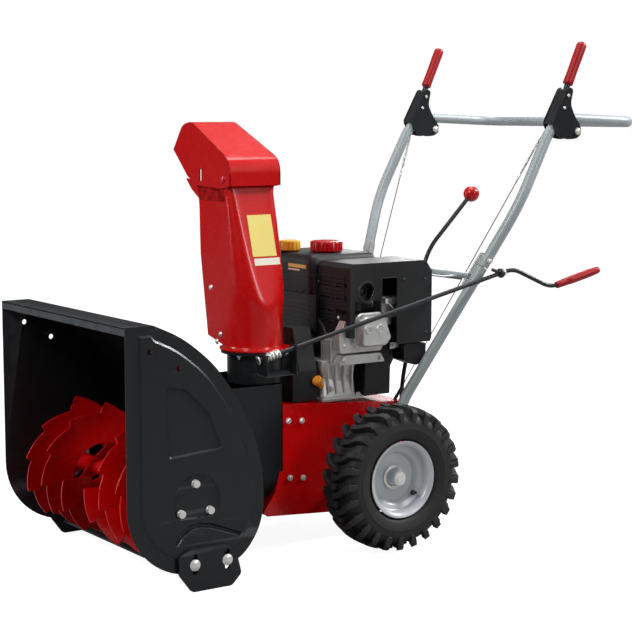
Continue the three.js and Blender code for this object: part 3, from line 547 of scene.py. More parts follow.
def wheel_fastenings(bm):
    """The axle's end nut and washer; the valve in the dish is drawn by valve()."""
    outer = (WHEEL["x"] + 30, 0, WHEEL["z"])
    turned(bm, outer, X, [(0, 0), (15, 0), (15, 1.4), (0, 1.4)], 28)
    turned(bm, outer, X, [(0, 1), (12.2, 1), (12.2, 2), (0, 2)], 6)
    turned(bm, (WHEEL["x"] + 17, 0, WHEEL["z"]), X, [(21, -12), (27, -12), (27, -9.5), (21, -8), (21, -12)],
           40)
    turned(bm, (outer[0] + 1.6, 0, WHEEL["z"]), X, [(0, 0), (9, 0), (9, 1.6), (8.2, 2.2), (0, 2.2)], 20)


def valve(bm):
    foot = Vector((WHEEL["x"] + 16, 47, WHEEL["z"] - 40))
    turned(bm, foot, (0.9, -0.25, 0.2), [(0, 0), (6, 0), (5.2, 6), (3.6, 9), (3.4, 18), (0, 18.5)], 16)


both_sides("tyre_with_lugs", tyre, TYRE, "wheels", ["tyre"], bevel=0.9, angle=30)
both_sides("dished_rim", rim, RIM_PAINT, "wheels", ["rim"])
both_sides("wheel_nut", wheel_fastenings, ZINC, "wheels", bevel=0.3)
both_sides("tyre_valve", valve, PLASTIC, "wheels")


# ---- Auger housing ----
def spline(points, steps=10):
    """A smooth open curve through points in a plane."""
    line = []
    for i in range(len(points) - 1):
        p0 = Vector(points[max(i - 1, 0)])
        p1, p2 = Vector(points[i]), Vector(points[i + 1])
        p3 = Vector(points[min(i + 2, len(points) - 1)])
        for k in range(steps):
            t = k / steps
            line.append(0.5 * (2 * p1 + (p2 - p0) * t + (2 * p0 - 5 * p1 + 4 * p2 - p3) * t * t
                               + (3 * p1 - p0 - 3 * p2 + p3) * t ** 3))
    line.append(Vector(points[-1]))
    return [(p[0], p[1]) for p in line]


BACK = spline([(-620, 550), (-556, 519), (-491, 468), (-446, 413), (-408, 351), (-378, 274), (-365, 190),
               (-369, 135), (-389, 89), (-429, 51), (-500, 36)], 8)
SOLE = arc((-535, 186), 150, -90, -180, 18)
PLATE = [(-685, 550), *BACK, *SOLE[:-1], (-685, 186)]


def inset(outline, amount):
    """The outline moved inwards by an amount, corner by corner."""
    points = [Vector(p) for p in outline]
    turn = sum(a.x * b.y - b.x * a.y for a, b in zip(points, points[1:] + points[:1]))
    sign = 1 if turn > 0 else -1
    moved = []
    for i, p in enumerate(points):
        before, after = points[i - 1], points[(i + 1) % len(points)]
        a, b = (p - before).normalized(), (after - p).normalized()
        na, nb = Vector((-a.y, a.x)) * sign, Vector((-b.y, b.x)) * sign
        n = (na + nb).normalized()
        reach = amount / max(n.dot(na), 0.5)
        moved.append((p.x + n.x * reach, p.y + n.y * reach))
    return moved


def step(bm, outline, low, high, run=0):
    """The wall between two levels in X: the outline at one level, and inset by run at the other."""
    a = [(low, u, v) for u, v in outline]
    b = [(high, u, v) for u, v in inset(outline, run)]
    loft(bm, [a, b], caps=False)


def fill(bm, x, outline, holes=()):
    """A flat face at one X, with holes."""
    loops = [list(outline), *[list(hole) for hole in holes]]
    flat = [[Vector((u, v, 0)) for u, v in loop] for loop in loops]
    verts = [bm.verts.new((x, p.x, p.y)) for loop in flat for p in loop]
    for triangle in geometry.tessellate_polygon(flat):
        bm.faces.new([verts[i] for i in triangle])


PANEL = [(-656, 532), (-628, 532), *[p for p in inset(PLATE, 26)[3:-14] if p[1] > 60 and p[0] > -640],
         *arc((-535, 186), 121, -105, -176, 12), (-656, 200)]
WINDOW = rounded([(-598, 424.5), (-551, 418), (-496, 364), (-473, 309), (-464, 287.5), (-593, 278)], 12)
DOME = rounded([(-582, 180), (-579, 214), (-553, 238), (-516, 243), (-486, 228), (-471, 200), (-475, 150),
                (-521, 148), (-577, 152)], 20)
ARCH = rounded([(-583, 103), (-571, 122), (-548, 137), (-520, 141), (-493, 136), (-420, 106), (-424, 98),
                (-494, 124), (-521, 129), (-544, 125), (-562, 111), (-573, 95)], 5)
PLATE_HOLES = [((-632, 499), 6), ((-567, 461), 6)]


def side_plate(bm):
    """A pressed plate: a sunk border band, a raised panel, and in it a sunk window and bearing recess."""
    border, face, sunk, recess, back = 287.2, PLATE_OUT + 0.6, 286.0, 285.9, 285.3
    holes = [arc(centre, radius, 0, 345, 23) for centre, radius in PLATE_HOLES]
    for z in ((-537, 56), (-460, 56)):
        holes.append(arc(z, 4.6, 0, 330, 11))
    fill(bm, border, PLATE, [PANEL, *holes[2:]])
    step(bm, PANEL, border, face, 4.5)
    fill(bm, face, inset(PANEL, 4.5), [WINDOW, DOME, ARCH, *holes[:2]])
    step(bm, WINDOW, face, sunk, 4)
    fill(bm, sunk, inset(WINDOW, 4))
    step(bm, ARCH, face, sunk, 3.5)
    fill(bm, sunk, inset(ARCH, 3.5))
    bolts = []
    for turn in (math.radians(90), math.radians(210), math.radians(330)):
        centre = (AUGER.y + BEARING_RING * math.cos(turn), AUGER.z + BEARING_RING * math.sin(turn))
        bolts.append(arc(centre, 4.6, 0, 330, 11))
    step(bm, DOME, face, recess, 4.5)
    fill(bm, recess, inset(DOME, 4.5), bolts)
    for outlines, level in ((bolts, recess), (holes[:2], face), (holes[2:], border)):
        for hole in outlines:
            step(bm, hole, level, back)
    fill(bm, back, PLATE, [*holes, *bolts])
    step(bm, PLATE, border, back)


def housing_shell(bm):
    """The rolled sheet between the plates, with a folded front lip; the mouth to the impeller is cut from it
    afterwards by carve() with mouth_cutter.
    """
    t, half = 3, HOUSING_HALF
    line = [(-685, 550), (-650, 550), *BACK, (-535, 36)]
    inside = inset([(-900, 550), *line, (-900, 36)], t)[1:-1]
    rows = []
    steps = 24
    for k in range(steps + 1):
        x = -half + 2 * half * k / steps
        rows.append([(x, y, z) for y, z in line] + [(x, y, z) for y, z in reversed(inside)])
    loft(bm, rows)
    block(bm, (-half, half), (-685, -682.6), (533, 549))


def mouth_cutter(bm):
    turned(bm, (0, -480, AUGER.z), Y, [(0, 0), (100, 0), (100, 180), (0, 180)], 72)


def carve(obj, build):
    """Cuts a shape out of a piece."""
    bm = bmesh.new()
    build(bm)
    bmesh.ops.recalc_face_normals(bm, faces=bm.faces)
    bm.transform(TO_METRES)
    mesh = bpy.data.meshes.new("cutter")
    bm.to_mesh(mesh)
    bm.free()
    tool = bpy.data.objects.new("cutter", mesh)
    bpy.context.scene.collection.objects.link(tool)
    cut = obj.modifiers.new("cut", "BOOLEAN")
    cut.object = tool
    cut.solver = "EXACT"
    graph = bpy.context.evaluated_depsgraph_get()
    result = bpy.data.meshes.new_from_object(obj.evaluated_get(graph))
    obj.modifiers.clear()
    obj.data = result
    bpy.data.objects.remove(tool)
    obj.data.shade_smooth()
    obj.data.set_sharp_from_angle(angle=math.radians(35))
    return obj


def skid(bm):
    outline = rounded([(-573, 39), (-545, 2), (-539, 0), (-449, 0), (-426, 23), (-433, 51), (-439, 74),
                       (-467, 90), (-545, 90), (-574, 76)], 6)
    slots = [[(y + 6 * math.cos(a), 57.5 + 15.5 * s + 6 * math.sin(a))
              for s, a in [(1, math.radians(18 * k)) for k in range(11)]
              + [(-1, math.radians(180 + 18 * k)) for k in range(11)]] for y in (-537, -460)]
    prism(bm, outline, 290.6, 297.2, "x", slots)


def skid_bolts(bm):
    for y in (-537, -460):
        dome_bolt(bm, (297.3, y, 56), X, 10.5, 4.6)
        turned(bm, (297.2, y, 56), X, [(0, 0), (12, 0), (12, 1), (0, 1)], 24)


def bearing_bolts(bm):
    for turn in (90, 210, 330):
        a = math.radians(turn)
        y, z = AUGER.y + BEARING_RING * math.cos(a), AUGER.z + BEARING_RING * math.sin(a)
        dome_bolt(bm, (286.7, y, z), X, 8.6, 6.4)


both_sides("pressed_side_plate", side_plate, BLACK, replaces=["side_plate"], bevel=1.1, angle=22)
shell = made("rolled_housing", housing_shell, BLACK, replaces=["auger_housing"])
carve(shell, mouth_cutter)
both_sides("skid_plate", skid, BLACK, replaces=["skid_shoe"], bevel=1.2)
both_sides("skid_bolts", skid_bolts, ZINC)
both_sides("bearing_bolts", bearing_bolts, ZINC)


# ---- Augers and impeller ----
def ribbon(bm, start):
    """One auger flight: a wide helical blade, dished where it was rolled, with a saw-toothed edge."""
    steps, teeth = 196, 14
    inner, outer = AUGER_BLADE["inner"], AUGER_BLADE["outer"]
    rings = []
    for k in range(steps + 1):
        t = k / steps
        x = mix(AUGER_BLADE["from"], AUGER_BLADE["to"], t)
        turn = start + 2 * math.pi * AUGER_BLADE["turns"] * t
        saw = (k % teeth) / (teeth - 1)
        rim = outer - 13 * (1 - saw)
        front, back = [], []
        for share in (0, 0.22, 0.5, 0.78, 1):
            r = mix(inner, rim, share)
            dish = 5 * math.sin(math.pi * share)
            place = (AUGER.y + r * math.cos(turn), AUGER.z + r * math.sin(turn))
            front.append((x + 1 + dish, *place))
            back.append((x - 3 + dish, *place))
        rings.append(front + back[::-1])
    loft(bm, rings)


def auger(bm):
    turned(bm, (38, AUGER.y, AUGER.z), X, [(0, 0), (19, 0), (19, 230), (0, 230)], 40)
    for start in (0, math.pi):
        ribbon(bm, start)
        for share in (0.06, 0.5, 0.94):
            x = mix(AUGER_BLADE["from"], AUGER_BLADE["to"], share) - 2
            turn = start + 2 * math.pi * AUGER_BLADE["turns"] * share
            out = Vector((0, math.cos(turn), math.sin(turn)))
            side = Vector((0, -math.sin(turn), math.cos(turn)))
            rings = []
            for r, half in ((15, 14), (40, 11), (74, 16)):
                middle = Vector((x, AUGER.y, AUGER.z)) + out * r
                rings.append([middle + side * half + X * 2.5, middle - side * half + X * 2.5,
                              middle - side * half - X * 2.5, middle + side * half - X * 2.5])
            loft(bm, rings)
    hex_bolt(bm, (60, AUGER.y - 18, AUGER.z), -Y, 11, 7, 3)


both_sides("notched_auger", auger, RED, "auger", ["auger"], bevel=0.5)
for hidden, paint in (("impeller", RED), ("auger_gearbox", IRON), ("auger_shaft", ZINC),
                      ("impeller_shaft", ZINC), ("scraper_bar", BLACK), ("left_auger_bearing", ZINC),
                      ("right_auger_bearing", ZINC)):
    refined(hidden, paint)


# ---- Discharge: drum, neck, chute and hood ----
def drum_outline(half, extra=0):
    """Round below and square above, about the impeller's axis."""
    below = [(half * math.cos(a), AUGER.z + half * math.sin(a))
             for a in (math.radians(-7.5 * k) for k in range(25))]
    return [(half, 372 + extra), *below, (-half, 372 + extra)]


def discharge_drum(bm):
    outer, inner = drum_outline(DRUM_HALF), drum_outline(DRUM_HALF - 3)
    rings = [[(x, y, z) for x, z in outline] for outline, y in
             ((outer, -372), (outer, -204), (inner, -201), (inner, -204), (inner, -372))]
    loft(bm, rings, caps=False)
    prism(bm, drum_outline(DRUM_HALF - 4), -206, -201.5, "y")
    turned(bm, (CHUTE["x"], CHUTE["y"], 366), Z, [(59, 0), (62, 0), (62, 71), (76, 71.5), (76, 77), (59, 77),
                                                (59, 0)], 64)


# The channel's wall in a cross-section, from the near mouth edge round the back to the far mouth edge.
def hood_half(x):
    return mix(HOOD["half"], HOOD["mouth"], (45 - x) / (45 - HOOD["tip"]))


def channel_point(s, height, inset_by):
    t = clamp((height - 545) / (CHUTE["top"] - 545))
    rise = clamp((height - CHUTE["foot"]) / (CHUTE["top"] - CHUTE["foot"]))
    back = mix(CHUTE["x"] + CHUTE["half"], 30, t)
    front = mix(-54, -112, rise)
    corner = mix(CHUTE["half"] - 1, 14, math.sqrt(t))
    head = clamp((height - 650) / 105)
    centre = back - corner

    def half_at(x):
        return mix(CHUTE["half"], hood_half(x) - 3.4, head)

    if s < 0.3:
        x = mix(front, centre, s / 0.3)
        return x, half_at(x) - inset_by
    if s < 0.9:
        turn = (s - 0.3) / 0.6 * math.pi / 2
        y = half_at(centre) - corner + (corner - inset_by) * math.cos(turn)
        return centre + (corner - inset_by) * math.sin(turn), y
    return back - inset_by, (half_at(centre) - corner) * (1 - (s - 0.9) / 0.1)


def channel(bm):
    """The chute's wall. Its foot is raised at the mouth."""
    across_steps, up_steps = 56, 30
    grid = []
    for side in (0, 1):
        rows = []
        for j in range(up_steps + 1):
            row = []
            for i in range(across_steps + 1):
                share = i / across_steps
                mouth = 1 - min(min(share, 1 - share) / 0.15, 1)
                height = mix(CHUTE["foot"] + 24 * mouth, CHUTE["top"], j / up_steps)
                s = share * 2 if share <= 0.5 else (1 - share) * 2
                x, y = channel_point(s, height, 2.5 * side)
                row.append(bm.verts.new((x, CHUTE["y"] + (-y if share <= 0.5 else y), height)))
            rows.append(row)
        grid.append(rows)
    for side, rows in enumerate(grid):
        for a, b in zip(rows, rows[1:]):
            for i in range(across_steps):
                bm.faces.new((a[i], a[i + 1], b[i + 1], b[i]))
    outer, inner = grid
    for k in (0, up_steps):
        for i in range(across_steps):
            bm.faces.new((outer[k][i], outer[k][i + 1], inner[k][i + 1], inner[k][i]))
    for i in (0, across_steps):
        for j in range(up_steps):
            bm.faces.new((outer[j][i], outer[j + 1][i], inner[j + 1][i], inner[j][i]))


def chute_ears(bm):
    outline = rounded([(-100, 770), (-141, 792), (-170, 817), (-18, 806), (1, 830), (27, 828), (26, 800),
                       (20, 770)], 5)
    for side in (-1, 1):
        rings = []
        for depth in (0, 2.5):
            rings.append([(x, CHUTE["y"] + side * (hood_half(x) - 3.4 - depth), z) for x, z in outline])
        loft(bm, rings)


def chute_ring(bm):
    turned(bm, (CHUTE["x"], CHUTE["y"], CHUTE["foot"]), Z,
           [(59.5, 0), (79, 0), (79, 4), (64.5, 4), (62.8, 9), (59.5, 9), (59.5, 0)], 72)


def near_wall(x, z):
    """The outside of the chute's near wall."""
    head = clamp((z - 650) / 105)
    return CHUTE["y"] - mix(CHUTE["half"], hood_half(x) - 3.4, head)


def chute_bolts(bm):
    for x, z in ((-43, 577), (-3, 476), (-17.6, 448 + 10)):
        dome_bolt(bm, (x, near_wall(x, z), z), -Y, 6.5, 3.4)
        far = 2 * CHUTE["y"] - near_wall(x, z)
        dome_bolt(bm, (x, far, z), Y, 6.5, 3.4)


def neck_clamps(bm):
    """The bolts of the clamps that hold the chute's ring down on the neck."""
    for turn in (-62, -28, 60, 150, 215):
        a = math.radians(turn)
        x, y = CHUTE["x"] + 70 * math.cos(a), CHUTE["y"] + 70 * math.sin(a)
        hex_bolt(bm, (x, y, 437.2), -Z, 8, 5, 3)




def hood(bm):
    """A folded hood: a top sheet that turns down in a lip, over two side sheets."""
    folds = [(45, 0, 806), (45, 0, 844), (35, 0, 866), (-135, 0, 946), (-176, 0, 938), (-222, 0, 881)]
    top = bent(folds, 16, 7)
    outer = [(p.x, p.z) for p in top]
    lower_edge = [(-153, 822), (-112, 803), (0, 799)]
    for side in (-1, 1):
        rings = []
        for thick in (0, 2.6):
            ring = []
            for x, z in rounded(outer + lower_edge, 0.1, 1):
                half = hood_half(x) + 1 - thick
                ring.append((x, CHUTE["y"] + side * half, z))
            rings.append(ring)
        loft(bm, rings)
    inner = wall(outer, 3)[len(outer):][::-1]
    rings = []
    for (x, z), (xi, zi) in zip(outer, inner):
        half = hood_half(x) + 1
        rings.append([(x, CHUTE["y"] - half, z), (x, CHUTE["y"] + half, z),
                      (xi, CHUTE["y"] + half - 0.4, zi), (xi, CHUTE["y"] - half + 0.4, zi)])
    loft(bm, rings)


def hood_slot(bm):
    outline = [(-94, 812), (-86, 812), (-86, 840), (-94, 840)]
    prism(bm, rounded(outline, 3.9), CHUTE["y"] - 90, CHUTE["y"] - 30, "y")


def hood_rivets(bm):
    for side in (-1, 1):
        at = (HOOD["x"], CHUTE["y"] + side * (HOOD["half"] - 1), HOOD["z"])
        turned(bm, at, Y * side, [(0, 0), (8, 0), (8, 1.6), (6.4, 4.2), (3, 5), (0, 5)], 24)


def label(bm, x, y, z):
    """A thin sticker that lies x above the chute's back wall, over a span of Y and of Z."""
    rows = []
    for j in range(9):
        height = mix(z[0], z[1], j / 8)
        row = []
        for i in range(13):
            across_y = mix(y[0], y[1], i / 12)
            row.append((back_wall(across_y, height) + x, across_y, height))
        rows.append(row)
    sheets = []
    for lift in (0.0, 0.3):
        sheet = [[bm.verts.new((p[0] + lift, p[1], p[2])) for p in row] for row in rows]
        for a, b in zip(sheet, sheet[1:]):
            for i in range(12):
                bm.faces.new((a[i], a[i + 1], b[i + 1], b[i]))
        sheets.append(sheet)
    borders = []
    for sheet in sheets:
        right, left = [row[-1] for row in sheet[1:]], [row[0] for row in sheet[-2:0:-1]]
        borders.append(sheet[0] + right + sheet[-1][-2::-1] + left)
    base, face = borders
    for i in range(len(face)):
        j = (i + 1) % len(face)
        bm.faces.new((base[i], base[j], face[j], face[i]))


def back_wall(y, height):
    """X on the outside of the channel's back, found along its rounded corner."""
    best = min((abs(CHUTE["y"] + side * channel_point(s / 200, height, 0)[1] - y),
                channel_point(s / 200, height, 0)[0])
               for s in range(60, 201) for side in (-1, 1))
    return best[1]


made("discharge_drum", discharge_drum, BLACK, replaces=["impeller_housing"], bevel=0.6)
made("chute_channel", channel, RED, "chute", ["chute"], angle=40)
made("chute_ears", chute_ears, RED, "chute", bevel=0.5)
made("chute_ring", chute_ring, RED, "chute", bevel=0.5)
made("chute_bolts", chute_bolts, ZINC, "chute")
made("neck_clamps", neck_clamps, ZINC)
hood_piece = made("hood_shell", hood, RED, "hood", ["deflector_hood"], angle=28)
carve(hood_piece, hood_slot)
made("hood_rivets", hood_rivets, RED, "hood")
made("label_upper", lambda bm: label(bm, 0.1, (-252, -190), (652, 742)), LABEL, "chute")
made("label_lower", lambda bm: label(bm, 0.1, (-250, -181), (633, 648)), LABEL_WHITE, "chute")


# ---- Tubes, levers and cables ----
def upright(z):
    t = (z - 305) / 450
    return Vector((mix(125, 267, t), mix(125, 345, t), z))


def lower_tube(bm):
    line = bent([(125.5, 88, 205), (125.5, 125, 306), upright(613.4)], 30, 10)
    sweep(bm, line, TUBE, 28)


def handle_bolts(bm):
    """The bolts that hold the tube to the body, and the joint of the two tubes."""
    for y, z in ((95.3, 225), (115.5, 280)):
        hex_bolt(bm, (138, y, z), X, 11, 6)
    middle = upright(604)
    along = (upright(700) - upright(500)).normalized()
    for shift in (-28, 28):
        at = middle + along * shift
        hex_bolt(bm, at + X * 12, X, 10, 6)


def joint_plates(bm):
    """A zinc sleeve plate bolted across each tube joint."""
    along = (upright(700) - upright(500)).normalized()
    middle = upright(604)
    out = along.cross(Vector((0.84, -0.54, 0))).normalized()
    u, v = along, out
    rings = []
    for offset in (-2, 2):
        ring = []
        for a, b in rounded([(-44, -12), (44, -12), (44, 12), (-44, 12)], 6):
            ring.append(middle - X * 15.5 + u * a + v * b + X * offset)
        rings.append(ring)
    loft(bm, rings)


def upper_tube(bm):
    start = upright(615)
    corners = [start, Vector((267, 345, 755)), Vector((264, 452, 953)), Vector((264, 714, 942))]
    far = [Vector((-p.x, p.y, p.z)) for p in reversed(corners)]
    sweep(bm, bent(corners + far, 58, 14), TUBE, 28)


def cheek(bm):
    """The lever's cheeks: rounded triangles either side of the tube, joined by a web that runs up it."""
    outline = rounded([(430, 942), (447, 910), (480, 903), (508, 905), (522, 916), (519, 934), (500, 958),
                       (487, 984), (495, 1020), (477, 1024)], 9)
    for x in (-1, 1):
        prism(bm, outline, LEVER.x + x * 15.5 - 1.5, LEVER.x + x * 15.5 + 1.5, "x")
    web = bent([(0, 432, 940), (0, 477, 1022), (0, 494, 1018)], 10, 5)
    prism(bm, wall([(p.y, p.z) for p in web], -3), LEVER.x - 15, LEVER.x + 15, "x")


def blade(bm):
    sweep(bm, [(LEVER.x, 476, 990), (LEVER.x, 491, 1030), (LEVER.x, 528, 1110)], 7, 16)


def lever_hardware(bm):
    for x in (-1, 1):
        side = X * x
        at = Vector((LEVER.x, LEVER.y, LEVER.z)) + side * 17
        turned(bm, at, side, [(0, 0), (8.5, 0), (8.5, 1.4), (0, 1.4)], 24)
        turned(bm, at + side * 1.2, side, [(0, 0), (6, 0), (5.4, 2), (3, 3.4), (0, 3.6)], 20)
        for y, z in ((468, 976), (480, 1004)):
            turned(bm, (LEVER.x + x * 17, y, z), side, [(0, 0), (4, 0), (3, 1.8), (0, 2.2)], 16)


def vinyl_grip(bm):
    start, end = Vector((LEVER.x, 491, 1030)), Vector((LEVER.x, 536, 1127))
    length = (end - start).length
    profile = [(0, 0), (10.6, 0), (12, 1.5), (12.2, 6), (11.7, 14), (11.5, 30), (11.7, 55), (12, 80),
               (12, length - 9), (10.6, length - 4), (7, length - 1), (0, length)]
    turned(bm, start, end - start, profile, 28)


def bracket(bm):
    outline = rounded([(498, 912), (526, 912), (526, 934), (498, 937)], 4)
    prism(bm, outline, LEVER.x - 10, LEVER.x + 10, "x")
    bar(bm, (LEVER.x - 20, LEVER.y, LEVER.z), (LEVER.x + 20, LEVER.y, LEVER.z), 4, 16)


def cable_wire(bm):
    sweep(bm, [(94, 123, 302), (170, 276, 606), (222, 380, 812), (246, 428, 909)], 1.1, 10)


def cable_spring(bm):
    """The return spring at the cable's upper end, with its hook through the lever's web."""
    top, foot = Vector((246, 428, 909)), Vector((94, 123, 302))
    down = (foot - top).normalized()
    u, v = across(down)
    line = [top + Vector((0, 4, 6)), top]
    coils, length, radius = 22, 88, 2.9
    for k in range(coils * 12 + 1):
        turn = 2 * math.pi * k / 12
        along = top + down * (6 + length * k / (coils * 12))
        line.append(along + (u * math.cos(turn) + v * math.sin(turn)) * radius)
    line.append(top + down * (length + 14))
    sweep(bm, line, 0.7, 6)
    bar(bm, top + down * (length + 10), top + down * (length + 30), 2.6, 16, chamfer=0.6)


def cable_sheath(bm):
    """The black sleeve where the cable goes into the body."""
    foot, top = Vector((94, 123, 302)), Vector((246, 428, 909))
    up = (top - foot).normalized()
    bar(bm, foot, foot + up * 34, 4.2, 16, 3.4)


both_sides("lower_tube", lower_tube, SILVER, replaces=["lower_handle"])
both_sides("handle_bolts", handle_bolts, ZINC)
both_sides("joint_plate", joint_plates, ZINC, bevel=0.4)
made("upper_tube", upper_tube, SILVER, replaces=["upper_handle"])
both_sides("lever_cheeks", cheek, BLACK, "{side}_lever", ["clutch_lever"], bevel=0.6)
both_sides("lever_blade", blade, BLACK, "{side}_lever")
both_sides("lever_fastenings", lever_hardware, ZINC, "{side}_lever")
both_sides("vinyl_grip", vinyl_grip, VINYL, "{side}_lever", ["lever_grip"], angle=50)
both_sides("lever_mount", bracket, BLACK, replaces=["lever_bracket"], bevel=0.6)
for side, sign in (("left", 1), ("right", -1)):
    for name, build, paint in (("cable_wire", cable_wire, IRON), ("cable_spring", cable_spring, ZINC),
                               ("cable_sleeve", cable_sheath, PLASTIC)):
        bm = bmesh.new()
        build(bm)
        bm.transform(Matrix.Scale(sign, 4, X))
        replaced = [f"{side}_clutch_cable"] if name == "cable_wire" else []
        moves = name != "cable_sleeve"
        cable = piece(f"{side}_{name}", bm, paint, None if moves else "machine", replaced)
        if moves:
            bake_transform(cable)


def brace(bm):
    bar(bm, (-200, 257, 592), (200, 257, 592), 7, 20, chamfer=1)


def gate(bm):
    """The plate with the slot that the speed lever moves in."""
    outline = rounded([(-46, 206), (166, 206), (166, 264), (-46, 264)], 8)
    slot = rounded([(-34, 216), (154, 216), (154, 244), (-34, 244)], 10)
    prism(bm, outline, 589, 592, "z", [slot])
    prism(bm, rounded([(-46, 580), (166, 580), (166, 592), (-46, 592)], 3), 261, 264, "y")


made("gate_plate", gate, SILVER, replaces=["cross_brace"], bevel=0.5)
made("brace_bar", brace, SILVER)


# ---- Chute crank ----
CRANK_LENGTH = (CRANK_EYE - CRANK_FOOT).length
CRANK_AXIS = (CRANK_EYE - CRANK_FOOT).normalized()
CRANK_DOWN = Vector((-0.05, 0, -1))
CRANK_DOWN = (CRANK_DOWN - CRANK_AXIS * CRANK_DOWN.dot(CRANK_AXIS)).normalized()


def on_crank(t, drop=0.0):
    return CRANK_FOOT + CRANK_AXIS * t + CRANK_DOWN * drop


def crank_rod(bm):
    line = bent([on_crank(-25), on_crank(CRANK_LENGTH + 34), on_crank(CRANK_LENGTH + 120, CRANK_DROP),
                 on_crank(CRANK_LENGTH + 244, CRANK_DROP)], 22, 10)
    sweep(bm, line, 5, 18)


def worm(bm):
    """The worm that drives the chute's ring: a coiled rod on the foot of the crank."""
    u, v = across(CRANK_AXIS)
    line = []
    for k in range(0, 61):
        turn = 2 * math.pi * k / 14
        line.append(on_crank(-5 + 33 * k / 60) + (u * math.cos(turn) + v * math.sin(turn)) * 8.2)
    sweep(bm, line, 2.5, 10)
    bar(bm, on_crank(-7), on_crank(29), 6.4, 20)
    bar(bm, on_crank(-24), on_crank(-21.5), 9, 20)
    bar(bm, on_crank(CRANK_LENGTH + 7), on_crank(CRANK_LENGTH + 11), 9, 20)


def crank_grip(bm):
    """A red spindle-shaped sleeve with a few rings moulded near its inner end."""
    start = on_crank(CRANK_LENGTH + 136, CRANK_DROP)
    profile = [(5.2, 0), (7.6, 0), (8.4, 2), (8.8, 14)]
    for k in range(4):
        at = 16 + 4 * k
        profile += [(9.0, at), (8.5, at + 0.8), (8.5, at + 1.8), (9.1, at + 2.6)]
    profile += [(9.9, 44), (10, 84), (9.2, 106), (8, 117), (6.4, 120), (5.2, 120), (5.2, 0)]
    turned(bm, start, CRANK_AXIS, profile, 28)


def crank_eye(bm):
    """A ring on a stud, in the tube's side, that guides the rod."""
    profile = [(6, 0), (9.6, 0), (11, 2), (11.6, 5), (11, 8), (9.6, 10), (6, 10), (6, 0)]
    turned(bm, on_crank(CRANK_LENGTH - 5), CRANK_AXIS, profile, 32)
    bar(bm, (236.5, 292.5, 608), (242, 306.5, 602), 4, 14)


made("crank_rod", crank_rod, BLACK, "crank", ["chute_crank_rod"])
made("crank_worm", worm, ZINC, "crank")
made("crank_handle", crank_grip, VINYL, "crank_grip", ["chute_crank_grip"], angle=50)
made("crank_guide", crank_eye, BLACK, replaces=["crank_eye"])
refined("crank_bracket", BLACK, 0.4)


# ---- Tractor body and belt cover ----
def body_fastenings(bm):
    for y, z in ((-186, 287), (-150, 284), (-182, 158), (-147, 154)):
        hex_bolt(bm, (DRUM_HALF, y, z), X, 9.5, 5)
    for y, z in ((60, 62), (-60, 72)):
        hex_bolt(bm, (DRUM_HALF, y, z + 8), X, 9, 4.5)


both_sides("body_bolts", body_fastenings, ZINC)
refined("tractor_body", RED, 0.8)
refined("belt_cover", PLASTIC, 2.5)
for node, paint in (("axle", ZINC), ("axle_gear", ZINC), ("pinion_shaft", ZINC), ("friction_wheel", BELT),
                    ("friction_disc", IRON), ("engine_pulley", IRON), ("auger_belt", BELT),
                    ("drive_belt", BELT)):
    refined(node, paint, 0.4)


# ---- Engine ----
def fuel_tank(bm):
    """A pressed tank: the upper and lower halves meet in a flange, and the top is slightly crowned."""
    outline = rounded([(-190, -60), (20, -60), (20, 128), (-190, 128)], 20)
    levels = [(8, 546), (3, 549), (0.8, 556), (0.8, 590), (0.0, 590.6), (0.0, 595.4), (0.8, 596), (0.8, 622),
              (3, 634), (9, 640), (18, 642)]
    rings = []
    for inward, z in levels:
        rings.append([(x, y, z) for x, y in inset(outline, inward)])
    loft(bm, rings)


def cap(bm, centre, radius, z0, height, ribs=20):
    """A moulded cap with grips round its edge and a raised top."""
    rings = []
    for share, z in ((0.94, 0), (1.0, 1.2), (1.0, height - 4), (0.96, height - 1.4), (0.86, height - 0.3)):
        ring = []
        for i in range(ribs * 6):
            turn = 2 * math.pi * i / (ribs * 6)
            dent = 0.955 if i % 6 in (0, 1) else 1.0
            r = radius * share * (dent if 0.5 < z < height - 1 else 1)
            ring.append((centre[0] + r * math.cos(turn), centre[1] + r * math.sin(turn), z0 + z))
        rings.append(ring)
    rings.append([(centre[0] + (p[0] - centre[0]) * 0.9, centre[1] + (p[1] - centre[1]) * 0.9, z0 + height)
                  for p in rings[-1]])
    loft(bm, rings)


def side_screws(bm):
    for y, z in ((106, 588), (168, 586), (170, 463)):
        dome_bolt(bm, (SHROUD["out"], y, z), X, 3.6, 2.4)


def shroud_screws(bm):
    for x, z in ((22, 583), (103, 507)):
        dome_bolt(bm, (x, SHROUD["front"], z), -Y, 4, 2.5)
    for x, z in ((102, 569), (138, 566), (138, 463)):
        hex_bolt(bm, (x, SHROUD["rear"], z), Y, 8, 4)


def rocker_cover(bm):
    """The cast rocker cover: a stepped rim, a crowned face with two pads, and its four bolts."""
    outline = rounded([(-27, 444), (-10, 438), (50, 438), (68, 459), (47, 518), (-14, 518), (-27, 506)], 9)
    rings = []
    for inward, x in ((1, 130), (1, 137), (0, 137.5), (0, 143), (3, 144), (4, 154), (6, 160), (8.5, 164)):
        rings.append([(x, y, z) for y, z in inset(outline, inward)])
    loft(bm, rings)
    for y, z in ((-19, 452), (50, 450), (42, 508), (-17, 508)):
        hex_bolt(bm, (143.5, y, z), X, 6.4, 4)
    for y in (-4, 28):
        turned(bm, (163.5, y, 482), X, [(0, 0), (11, 0), (10, 2.2), (6, 2.5), (5.6, 1.6), (0, 1.6)], 24)


